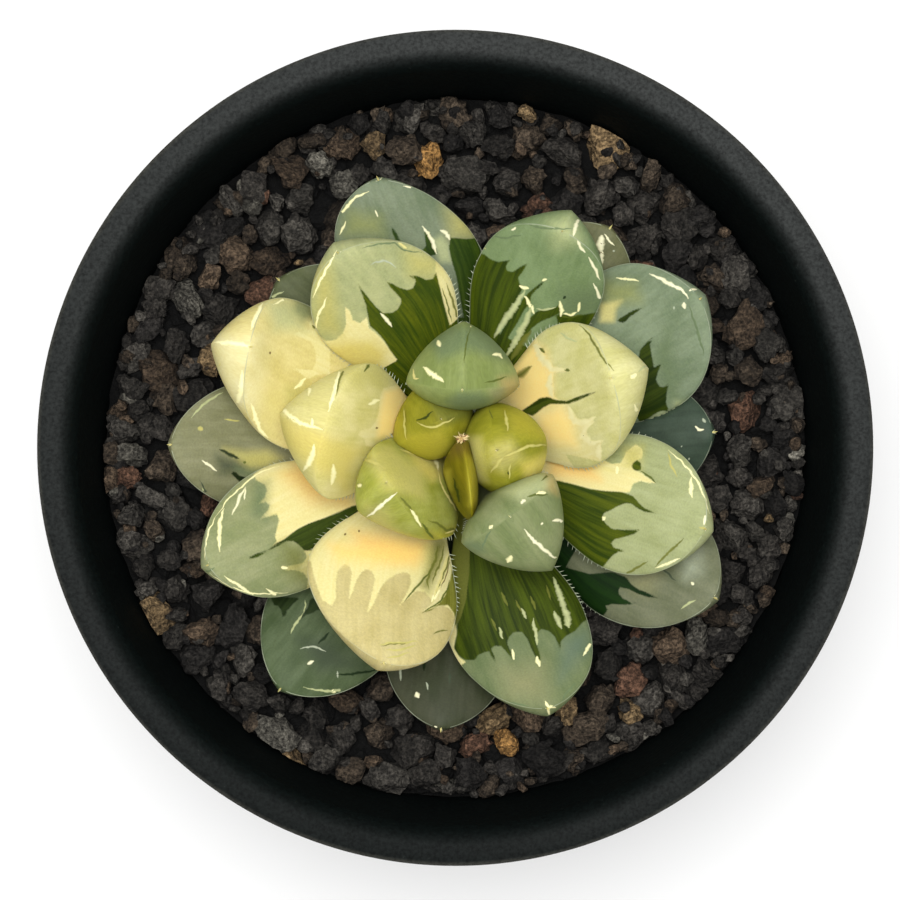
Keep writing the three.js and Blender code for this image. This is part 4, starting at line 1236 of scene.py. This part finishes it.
def paint_leaf(mesh, leaf, marks, places, us, vs):
    """Writes on each vertex how far inside the cream and green parts it lies, and its blush.

    Returns the colour of the skin at each vertex.
    """
    pixels = on_photo(places)
    u = np.append(np.repeat(us, len(vs)), [0.0, 1.0])
    v = np.append(np.tile(vs, len(us)), [0.5 * math.pi, 0.5 * math.pi])
    length, far_off, deepest = 30.0, 40.0, 50.0
    spread_out = leaf["width"] / 2 * np.where(
        u < leaf["widest"], 1.0, swell(u, leaf["widest"], leaf["seat_width"], 0.62))
    aside = np.cos(v) * spread_out + np.where(v > math.pi, far_off, 0.0)
    own_grain = np.full(len(u), leaf["number"] * 7.3)
    put_vectors(mesh, "grain", np.stack([aside, u * length, own_grain], axis=1))
    tone = np.tile(np.add(*[np.array(linear(c)[:3]) for c in marks["window"]]) / 2, (len(u), 1))
    fields = {}
    for kind in ("cream", "green"):
        depth = np.full(len(pixels), -deepest)
        for outline in marks.get(kind, []):
            depth = np.maximum(depth, inside_by(pixels, outline))
        if marks.get("base_kind") == kind:
            hidden = (marks["base"] - u) * length / PIXEL
            depth = np.maximum(depth, np.minimum(hidden, deepest))
        put_floats(mesh, kind, depth)
        fields[kind] = np.clip(depth * 0.6 + 0.5, 0, 1)[:, None]
    colour = np.zeros((len(pixels), 3))
    amount = np.zeros(len(pixels))
    for name, softness, outline in marks.get("blush", []):
        share = smooth_share(inside_by(pixels, outline) / softness * 0.5 + 0.5) * 0.8
        colour = colour * (1 - share[:, None]) + np.array(linear(PAINT[name])[:3]) * share[:, None]
        amount = amount * (1 - share) + share
    blush = colour / np.maximum(amount, 1e-4)[:, None]
    put_colours(mesh, "blush", np.column_stack([blush, np.ones(len(blush))]))
    put_floats(mesh, "blush_amount", amount)
    cream = (np.array(linear(PAINT["cream"])[:3]) + linear(PAINT["ivory"])[:3]) / 2
    tone = tone * (1 - fields["cream"]) + cream * fields["cream"]
    tone = tone * (1 - amount[:, None]) + blush * amount[:, None]
    greens = np.add(*[np.array(linear(c)[:3]) for c in marks.get("greens", USUAL_GREENS)]) / 2
    return tone * (1 - fields["green"]) + greens * fields["green"]


# Angles of a hair's three sides
THREE_SIDES = (0, 2.094, 4.189)


class Strips:
    """Thin raised ribs and hairs, gathered into one mesh with a colour for each vertex."""

    def __init__(self):
        self.vertices, self.faces, self.tints = [], [], []

    def tube(self, rings, tint, closed_end=None, tints=None):
        """Skin over equal rings of points, closed at both ends; tints colours each point."""
        first, size = len(self.vertices), len(rings[0])
        for ring in rings:
            self.vertices.extend(ring)
        self.tints.extend(tints or [tint] * (size * len(rings)))
        for i in range(len(rings) - 1):
            for j in range(size):
                k = (j + 1) % size
                a, b = first + i * size, first + (i + 1) * size
                self.faces.append((a + j, a + k, b + k, b + j))
        self.faces.append(tuple(first + j for j in reversed(range(size))))
        last = first + (len(rings) - 1) * size
        if closed_end is None:
            self.faces.append(tuple(last + j for j in range(size)))
            return
        self.vertices.append(closed_end)
        self.tints.append(tint)
        for j in range(size):
            self.faces.append((last + j, last + (j + 1) % size, len(self.vertices) - 1))

    def hair(self, root, direction, length, radius, tint, bend=None):
        """A tapering bristle from a place on the skin."""
        direction = direction.normalized()
        side = direction.orthogonal().normalized()
        other = direction.cross(side)
        rings = []
        for share in (-0.25, 0.5):
            middle = root + direction * (length * share)
            if bend is not None:
                middle = middle + bend * max(share, 0) ** 2
            wide = radius * (1 - 0.5 * max(share, 0))
            rings.append([
                middle + side * (wide * math.cos(a)) + other * (wide * math.sin(a))
                for a in THREE_SIDES
            ])
        tip = root + direction * length + (bend if bend is not None else Vector((0, 0, 0)))
        self.tube(rings, tint, tip)


def blend(first, second, share):
    """A colour between two, share of the way to the second."""
    return tuple(a * (1 - share) + b * share for a, b in zip(first, second))


class Skin:
    """A finished leaf surface to draw on: its tree of faces and its colour at each vertex."""

    def __init__(self, tree, faces, tones):
        self.tree, self.faces, self.tones = tree, faces, tones

    def tone(self, face):
        return tuple(self.tones[self.faces[face][0]]) + (1.0,)


# Places across a rib and how much it shows there, and the steps along it in pixels
ACROSS = (-1.0, -0.45, 0.0, 0.45, 1.0)
STRENGTH = (0.0, 0.8, 1.0, 0.8, 0.0)
RIB_STEP = 1.3


def draw_line(strips, skin, tint, width, points, random):
    """A rib along a line of pixels, laid on the leaf where the lens sees it."""
    eye = Vector(LENS)
    points = [Vector(p) for p in points]
    runs = [(b - a).length for a, b in zip(points, points[1:])]
    total = sum(runs)
    count = max(4, int(total / RIB_STEP))
    phase = random.uniform(0, 50)
    rings, tints = [], []
    for k in range(count + 1):
        along = total * k / count
        index = 0
        while index < len(runs) - 1 and along > runs[index]:
            along -= runs[index]
            index += 1
        a, b = points[index], points[index + 1]
        spot = a.lerp(b, along / max(runs[index], 1e-6))
        ahead = (b - a).normalized()
        share = k / count
        rough = noise.noise(Vector((phase, total * share * 0.45, 0)))
        sway = noise.noise(Vector((phase + 9, total * share * 0.16, 0)))
        taper = math.sin(math.pi * min(max(share, 0.03), 0.97)) ** 0.7
        half = 0.62 * width * (0.12 + 0.88 * taper) * (1 + 0.55 * rough)
        side = Vector((-ahead.y, ahead.x))
        spot = spot + side * (sway * 1.1)
        hits = [skin.tree.ray_cast(eye, sight(spot + side * (half * s))) for s in ACROSS]
        if any(hit[0] is None for hit in hits) or (hits[0][0] - hits[-1][0]).length > half * PIXEL * 7:
            continue
        rings.append([hit[0] + hit[1] * (0.004 + 0.014 * s) for hit, s in zip(hits, STRENGTH)]
                     + [hits[2][0] - hits[2][1] * 0.1])
        fade = min(1.0, 0.35 + 1.3 * taper)
        tints += [blend(skin.tone(hit[2]), tint, s * fade) for hit, s in zip(hits, STRENGTH)] + [tint]
    if len(rings) > 1:
        strips.tube(rings, tint, tints=tints)


# Teeth on the margins in millimetres: longest, gap, and where along a leaf they start to fade
TOOTH_LENGTH = 0.62
TOOTH_GAP = 0.36
TEETH_FADE_FROM = 0.44


def margin_hairs(strips, leaf, places, columns, us, column, pressed, tones, random):
    """A faint rib along one margin of a leaf and a fringe of fine teeth on its lower part."""
    white = linear(PAINT["mist"])
    rows = [i for i, u in enumerate(us) if u > 0.3]
    spots = [Vector(places[i * columns + column]) for i in rows]
    inner = [Vector(places[i * columns:(i + 1) * columns].mean(axis=0)) for i in rows]
    rib, tints = [], []

    def close_rib():
        if len(rib) > 3:
            strips.tube(list(rib), white, tints=list(tints))
        rib.clear()
        tints.clear()

    travelled, due = 0.0, 0.3
    for n in range(1, len(spots) - 1):
        at = rows[n] * columns + column
        ahead = (spots[n + 1] - spots[n - 1]).normalized()
        outward = spots[n] - inner[n]
        outward = (outward - ahead * outward.dot(ahead)).normalized()
        normal = ahead.cross(outward)
        if pressed[at]:
            close_rib()
            continue
        if leaf["ring"] not in ("heart", "inner") and n % 2 == 0:
            thick = 0.055 + 0.03 * noise.noise(spots[n] * 0.9)
            pale = 0.45 + 0.5 * noise.noise(spots[n] * 0.35)
            rib.append([
                spots[n] + outward * (thick * 0.7),
                spots[n] + normal * thick,
                spots[n] - outward * (thick * 1.6),
                spots[n] - normal * thick,
            ])
            tints += [blend(tuple(tones[at]) + (1.0,), white, max(0.1, min(pale, 0.9)))] * 4
        travelled += (spots[n] - spots[n - 1]).length
        if travelled < due:
            continue
        due = travelled + TOOTH_GAP + 0.2 * random.random()
        fringe = TOOTH_LENGTH * (1 - float(smooth_share((us[rows[n]] - TEETH_FADE_FROM) / 0.24)))
        if fringe < 0.12:
            continue
        lean = ahead * (0.3 + 0.5 * random.random()) + Vector((0, 0, 0.15 * random.random()))
        strips.hair(spots[n], outward + lean, fringe * (0.65 + 0.55 * random.random()),
                    0.045 + 0.02 * random.random(), white)
    close_rib()


def bristle_point(strips, leaf, places, rows, columns, random):
    """A short pale point on the end of a leaf."""
    size = 0.5 if leaf["ring"] in ("heart", "inner") else 1.0
    end = Vector(places[rows * columns + 1])
    before = Vector(places[(rows - 3) * columns:(rows - 2) * columns].mean(axis=0))
    ahead = (end - before).normalized()
    strips.hair(end - ahead * 0.25, ahead, 0.95 * size, 0.15 * size, linear(PAINT["cream"]))
    for _ in range(3):
        sway = Vector(random.normal(0, 0.35, 3).tolist())
        strips.hair(end - ahead * 0.2, ahead + sway, 0.6 * size, 0.04, linear(PAINT["white"]))


TUFT_BRISTLES = 110


def tuft(strips, end, random):
    """Dry bristles on the youngest leaf."""
    dry, burnt = linear((272, 246, 184)), linear((176, 132, 92))
    for _ in range(TUFT_BRISTLES):
        turn = 2 * math.pi * random.random()
        tilt = 1.5 * random.random()
        lean = math.sin(tilt)
        direction = Vector((math.cos(turn) * lean, math.sin(turn) * lean, math.cos(tilt)))
        tint = dry if random.random() < 0.75 else burnt
        sway = Vector(random.normal(0, 0.2, 3).tolist())
        strips.hair(end - direction * 0.1, direction, 0.45 + 0.4 * random.random(), 0.15, tint, sway)


def make_leaves(ribs):
    """All leaves from the youngest out, so that each one can lie under those before it."""
    younger = []
    for leaf in leaf_specs():
        number = leaf["number"]
        marks = MARKS[number]
        random = np.random.RandomState(600 + number)
        cell = COARSE_CELL if leaf["ring"] in ("lower", "lowest") else FINE_CELL
        us, vs, upper_count = leaf_grid(leaf, cell)
        grid_u, grid_v = np.meshgrid(us, vs, indexing="ij")
        places = leaf_places(leaf, grid_u, grid_v).reshape(-1, 3)
        seat = leaf_places(leaf, 0.0, vs).mean(axis=0)
        point = leaf_places(leaf, 1.0, 0.0)
        places = np.vstack([places, seat, point])
        rows, columns = len(us), len(vs)
        centre = leaf_places(leaf, us, 0.5 * math.pi)
        wave = np.array([noise.noise(Vector(p) * WAVE_RATE + Vector((0, 0, number))) for p in places])
        heart = (centre.mean(axis=0) + seat) / 2
        away = places - heart
        away /= np.linalg.norm(away, axis=1, keepdims=True)
        taper = np.append(np.repeat(np.minimum(1, (1 - us) * 6), columns), [0, 0])
        places += away * (wave * WAVE_HEIGHT * taper)[:, None]
        lower_face = np.append(np.tile(np.arange(columns) >= upper_count, rows), [True, False])
        pressed = press_under(places, younger, lower_face, LIES_OVER.get(number, ()))
        faces = leaf_faces(rows, columns)
        piece = mesh_object(f"leaf_{number:02d}_skin", places, faces, [leaf_skin(number, marks), ribs])
        tree = BVHTree.FromPolygons([Vector(p) for p in places], faces)
        younger.append((tree, places.min(axis=0), places.max(axis=0)))
        tones = paint_leaf(piece.data, leaf, marks, places, us, vs)
        skin = Skin(tree, faces, tones)
        strips = Strips()
        for name, width, points in marks.get("lines", []):
            draw_line(strips, skin, linear(PAINT[name]), width, points, random)
        if number == 1:
            tuft(strips, Vector(places[-1]), random)
        else:
            for column in (0, upper_count):
                margin_hairs(strips, leaf, places, columns, us, column, pressed, tones, random)
            if not pressed[-1]:
                bristle_point(strips, leaf, places, rows, columns, random)
        add_strips(piece, strips)
        dress(piece, f"leaf_{leaf['ring']}", f"leaf_{number:02d}")


def add_strips(piece, strips):
    """Joins ribs and hairs to a leaf, as its second material."""
    extra = mesh_object(piece.name + "_ribs", [tuple(p) for p in strips.vertices], strips.faces, [])
    put_colours(extra.data, "tint", strips.tints)
    extra.data.polygons.foreach_set("material_index", [1] * len(extra.data.polygons))
    extra.data.set_sharp_from_angle(angle=math.radians(60))
    for material in piece.data.materials:
        extra.data.materials.append(material)
    bpy.ops.object.select_all(action="DESELECT")
    extra.select_set(True)
    piece.select_set(True)
    bpy.context.view_layer.objects.active = piece
    bpy.ops.object.join()


# Gravel

STONE_COLOURS = {
    # shadow is painted shade: the near-black of the soil's filling and of the grains buried under the others.
    "shadow": (12, 12, 11),
    "black": (46, 44, 42),
    "dark": (64, 61, 57),
    "grey": (80, 77, 72),
    "ash": (122, 119, 110),
    "umber": (78, 68, 57),
    "brown": (96, 81, 66),
    "rust": (108, 80, 64),
    "tan": (152, 128, 94),
    "honey": (172, 130, 76),
}
STONE_SHARES = [
    ("black", 0.16), ("dark", 0.3), ("grey", 0.2), ("umber", 0.18), ("brown", 0.09), ("ash", 0.03),
    ("rust", 0.03), ("tan", 0.01),
]

# Grains that stand out in the photograph: pixel, size across in pixels, and colour.
KNOWN_STONES = [
    ((608, 138), 50, "tan"),
    ((431, 157), 34, "honey"),
    ((373, 145), 28, "tan"),
    ((188, 300), 44, "ash"),
    ((107, 478), 26, "brown"),
    ((128, 478), 26, "rust"),
    ((153, 615), 34, "tan"),
    ((506, 743), 30, "honey"),
    ((277, 735), 40, "ash"),
    ((290, 762), 28, "tan"),
    ((464, 175), 44, "grey"),
    ((748, 412), 40, "rust"),
    ((744, 325), 38, "brown"),
    ((630, 712), 24, "tan"),
    ((218, 312), 36, "dark"),
    ((262, 292), 34, "rust"),
]


def inner_radius_at(height):
    """Radius of the inside of the pot's wall."""
    return RIM_RADIUS - RIM_WIDTH - (POT_HEIGHT - height) * INNER_TAPER


def ball(levels):
    """Corners and faces of a ball of triangles."""
    shape = bmesh.new()
    bmesh.ops.create_icosphere(shape, subdivisions=levels, radius=1.0)
    corners = np.array([tuple(v.co) for v in shape.verts])
    faces = np.array([[v.index for v in f.verts] for f in shape.faces])
    shape.free()
    return corners, faces


def stone_shape(corners, radius, random):
    """A chipped, knobbly grain from a ball's corners."""
    shape = corners.copy()
    for _ in range(8):
        normal = random.normal(size=3)
        normal /= np.linalg.norm(normal)
        over = shape @ normal - (0.5 + 0.36 * random.random())
        shape -= np.outer(np.maximum(over, 0) * 0.92, normal)
    offset = Vector(random.uniform(0, 90, 3).tolist())
    rough = np.array([noise.fractal(Vector(p) * 2.4 + offset, 0.6, 2.2, 4) for p in corners.tolist()])
    shape *= (1.04 + 0.3 * rough)[:, None]
    shape *= 1 + 0.6 * (random.random(3) - 0.5)
    turn, _ = np.linalg.qr(random.normal(size=(3, 3)))
    if np.linalg.det(turn) < 0:
        turn[:, 0] *= -1
    shape = shape @ turn.T
    shape[:, 2] *= 0.86
    return shape * radius


def stone_mesh(stones, levels, random):
    """Grains as corners, faces and colours; a stone is its x, y, top height, radius and colour."""
    corners, faces = ball(levels)
    limit = inner_radius_at(SOIL_TOP) - 0.2
    vertices, all_faces, tints = [], [], []
    for x, y, top, radius, colour in stones:
        shape = stone_shape(corners, radius, random)
        shape += np.array([x, y, top - shape[:, 2].max()])
        far = np.hypot(shape[:, 0], shape[:, 1])
        shape[:, :2] *= np.minimum(1, limit / np.maximum(far, 1e-6))[:, None]
        all_faces.append(faces + len(vertices) * len(corners))
        vertices.append(shape)
        base = np.array(linear(STONE_COLOURS[colour])) * (0.6 + 0.9 * random.random())
        # Painted shade: a grain is darker at its foot, down in the gaps, than at its top.
        lift = (shape[:, 2] - shape[:, 2].min()) / np.ptp(shape[:, 2])
        tints.append(base * (0.28 + 1.04 * lift ** 1.4)[:, None])
    return np.vstack(vertices), np.vstack(all_faces), np.vstack(tints)


def pick_colour(random):
    """A grain's colour, by the shares of the colours."""
    chance = random.random()
    for colour, share in STONE_SHARES:
        chance -= share
        if chance < 0:
            return colour
    return "dark"


def place_stones(radii, placed, inner, closeness, tries, random):
    """Adds grains of the given radii where they don't crowd those already placed."""
    reach = inner_radius_at(SOIL_TOP) - 0.3
    for radius in radii:
        for _ in range(tries):
            angle = 2 * math.pi * random.random()
            out = math.sqrt(random.uniform(inner ** 2, reach ** 2))
            if out + 0.8 * radius > reach:
                continue
            x, y = out * math.cos(angle), out * math.sin(angle)
            others = np.array(placed) if placed else np.empty((0, 3))
            if np.all(np.hypot(others[:, 0] - x, others[:, 1] - y) > closeness * (radius + others[:, 2])):
                placed.append((x, y, radius))
                break
    return placed


def soil_piece(name, meshes, finish):
    """One piece of several grain meshes."""
    vertices, faces, tints, count = [], [], [], 0
    for part_vertices, part_faces, part_tints in meshes:
        faces += [tuple(i + count for i in face) for face in part_faces]
        vertices.append(part_vertices)
        tints.append(part_tints)
        count += len(part_vertices)
    piece = mesh_object(name, np.vstack(vertices), faces, [finish])
    piece.data.set_sharp_from_angle(angle=math.radians(38))
    put_colours(piece.data, "stone", np.vstack(tints))
    dress(piece, "soil", "soil")


def strewn(spots, lowest, spread_up, random, colour=None):
    """Grains at x, y and radius, with tops from the lowest up and one colour or a mixture."""
    return [
        (x, y, lowest + spread_up * random.random(), radius, colour or pick_colour(random))
        for x, y, radius in spots
    ]


def make_gravel(finish):
    """The soil's plain filling and the porous grains that cover it."""
    random = np.random.RandomState(1877)
    hidden_by_plant = 22
    known = []
    for pixel, across, colour in KNOWN_STONES:
        direction = sight(pixel)
        spot = Vector(LENS) + direction * ((LENS[2] - SOIL_TOP - 1.6) / -direction.z)
        known.append((spot.x, spot.y, across * PIXEL * 0.5, colour))
    placed = [(x, y, r) for x, y, r, _ in known]
    sizes = np.sort(random.uniform(0.85, 1.95, 590))[::-1]
    place_stones(sizes, placed, hidden_by_plant, 0.87, 60, random)
    top_stones = []
    for n, (x, y, radius) in enumerate(placed):
        colour = known[n][3] if n < len(known) else pick_colour(random)
        top = SOIL_TOP + 0.9 + 1.6 * random.random() * min(1.0, radius / 1.9)
        top_stones.append((x, y, top, radius * 1.08, colour))
    chips = place_stones(random.uniform(0.45, 0.85, 420), [], hidden_by_plant, 1.0, 20, random)
    chip_stones = strewn(chips, SOIL_TOP + 0.4, 1.1, random)
    wall_strip = inner_radius_at(SOIL_TOP) - 2.6
    by_wall = place_stones(random.uniform(0.6, 1.25, 240), [], wall_strip, 0.8, 40, random)
    chip_stones += strewn(by_wall, SOIL_TOP + 0.2, 1.3, random)
    # Painted shade: grains under the others, and the filling below them, are near black so the gaps look
    # dark.
    under = place_stones(np.full(560, 1.9), [], 6.5, 0.62, 30, random)
    under_stones = strewn(under, SOIL_TOP - 1.2, 1.0, random, "shadow")
    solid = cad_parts["soil"].data
    filling = np.array([tuple(v.co) for v in solid.vertices]) / MM
    filling[:, 2] = np.minimum(filling[:, 2], SOIL_TOP - 1.6)
    fill_tints = np.tile(np.array(linear(STONE_COLOURS["shadow"])), (len(filling), 1))
    fill = (filling, [tuple(p.vertices) for p in solid.polygons], fill_tints)
    soil_piece("soil_gravel", [stone_mesh(top_stones, 3, random)], finish)
    loose = [stone_mesh(stones, 2, random) for stones in (under_stones, chip_stones)]
    soil_piece("soil_filling", [fill, *loose], finish)


# Pot


def pot_profile():
    """The pot's section from the middle of its underside round to the middle of its floor."""
    floor_top = FOOT_HEIGHT + FLOOR_THICKNESS
    fold = POT_HEIGHT - 1.6
    skirt = RIM_RADIUS - RIM_SKIRT_WALL
    skirt_foot = POT_HEIGHT - RIM_SKIRT_DROP
    wall_top = POT_HEIGHT - 1.9

    def outer(height):
        return inner_radius_at(height) + POT_WALL

    points = [
        (0, FOOT_HEIGHT),
        (FOOT_INNER, FOOT_HEIGHT),
        (FOOT_INNER + 0.2, 0.3),
        (FOOT_INNER + 0.5, 0),
        (FOOT_OUTER - 0.3, 0),
        (FOOT_OUTER, 0.3),
        (outer(2), 2),
        (outer(fold), fold),
        (skirt, fold),
        (skirt - 0.2, skirt_foot),
        (RIM_RADIUS - 0.4, skirt_foot),
        (RIM_RADIUS - 0.2, skirt_foot + 0.2),
        (RIM_RADIUS, POT_HEIGHT - 0.95),
        (RIM_RADIUS - 0.1, POT_HEIGHT - 0.5),
        (RIM_RADIUS - 0.45, POT_HEIGHT - 0.18),
        (RIM_RADIUS - 1.1, POT_HEIGHT),
        (RIM_RADIUS - 1.9, POT_HEIGHT),
        (RIM_RADIUS - 2.6, POT_HEIGHT - 0.12),
        (RIM_RADIUS - 3.1, POT_HEIGHT - 0.4),
        (RIM_RADIUS - 3.6, POT_HEIGHT - 0.85),
        (inner_radius_at(wall_top), wall_top),
    ]
    height = POT_HEIGHT - 2.6
    while height > SOIL_TOP - 3:
        points.append((inner_radius_at(height) + 0.06, height + 0.3))
        points.append((inner_radius_at(height) - 0.02, height))
        height -= 1.3
    points += [(inner_radius_at(floor_top), floor_top), (0, floor_top)]
    return points


def make_pot(finish):
    """The pot's profile turned round, with the drain holes cut through its floor."""
    profile = pot_profile()
    vertices, faces = [(0, 0, profile[0][1])], []
    for i in range(POT_SIDES):
        angle = 2 * math.pi * i / POT_SIDES
        vertices += [(r * math.cos(angle), r * math.sin(angle), z) for r, z in profile[1:-1]]
    size = len(profile) - 2
    vertices.append((0, 0, profile[-1][1]))
    for i in range(POT_SIDES):
        a, b = 1 + i * size, 1 + ((i + 1) % POT_SIDES) * size
        faces.append((0, b, a))
        faces += [(a + k, b + k, b + k + 1, a + k + 1) for k in range(size - 1)]
        faces.append((a + size - 1, b + size - 1, len(vertices) - 1))
    piece = mesh_object("pot_body", vertices, faces, [finish])
    cutters = []
    for i in range(DRAIN_HOLES_ROUND_MIDDLE + 1):
        angle = 2 * math.pi * i / DRAIN_HOLES_ROUND_MIDDLE
        reach = DRAIN_HOLE_CIRCLE if i else 0.0
        bpy.ops.mesh.primitive_cylinder_add(
            vertices=40, radius=DRAIN_HOLE_RADIUS * MM, depth=8 * MM,
            location=(reach * math.cos(angle) * MM, reach * math.sin(angle) * MM, FOOT_HEIGHT * MM))
        cutters.append(bpy.context.object)
    for cutter in cutters:
        cut = piece.modifiers.new("drain_hole", "BOOLEAN")
        cut.operation, cut.solver, cut.object = "DIFFERENCE", "EXACT", cutter
    bpy.context.view_layer.update()
    seen = piece.evaluated_get(bpy.context.evaluated_depsgraph_get())
    mesh = bpy.data.meshes.new_from_object(seen)
    piece.modifiers.clear()
    piece.data = mesh
    for cutter in cutters:
        bpy.data.objects.remove(cutter)
    mesh.polygons.foreach_set("use_smooth", [True] * len(mesh.polygons))
    mesh.set_sharp_from_angle(angle=math.radians(50))
    dress(piece, "pot", "pot")


# Stage


# Studio: brightness of its white walls, and place, size in metres and watts of its soft box
WALL_BRIGHTNESS = 0.72
SOFT_BOX_PLACE = (-0.04, 0.12, 1.2)
SOFT_BOX_SIZE = 0.6
SOFT_BOX_WATTS = 11
SENSOR_WIDTH = 36.0


def make_stage():
    """A pale table, a white studio with one soft box, and the lens where the photograph's was."""
    bpy.ops.mesh.primitive_plane_add(size=6, location=(0, 0, 0))
    floor = bpy.context.object
    floor.name = "table_top"
    floor.data.materials.append(floor_finish())

    scene = bpy.context.scene
    scene.view_settings.view_transform = "Standard"
    world = bpy.data.worlds.new("studio")
    world.use_nodes = True
    walls = world.node_tree.nodes["Background"]
    walls.inputs["Color"].default_value = (1, 1, 1, 1)
    walls.inputs["Strength"].default_value = WALL_BRIGHTNESS
    scene.world = world

    light = bpy.data.lights.new("soft_box_above", "AREA")
    light.shape = "DISK"
    light.size = SOFT_BOX_SIZE
    light.energy = SOFT_BOX_WATTS
    lamp = bpy.data.objects.new("soft_box_above", light)
    lamp.location = SOFT_BOX_PLACE
    to_plant = Vector((0, 0, 0.07)) - Vector(SOFT_BOX_PLACE)
    lamp.rotation_euler = to_plant.to_track_quat("-Z", "Y").to_euler()
    scene.collection.objects.link(lamp)

    camera = bpy.data.cameras.new("photo_lens")
    camera.sensor_width = SENSOR_WIDTH
    camera.lens = SENSOR_WIDTH * LENS_OVER_RIM / (PHOTO_SIDE * PIXEL)
    camera.clip_start = 0.01
    view = bpy.data.objects.new("photo_lens", camera)
    view.location = [c * MM for c in LENS]
    scene.collection.objects.link(view)
    scene.camera = view


make_stage()
make_pot(pot_finish())
make_gravel(gravel_finish())
stem_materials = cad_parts["stem_with_roots"].data.materials
stem_materials.clear()
stem_materials.append(stem_finish())
make_leaves(rib_finish())
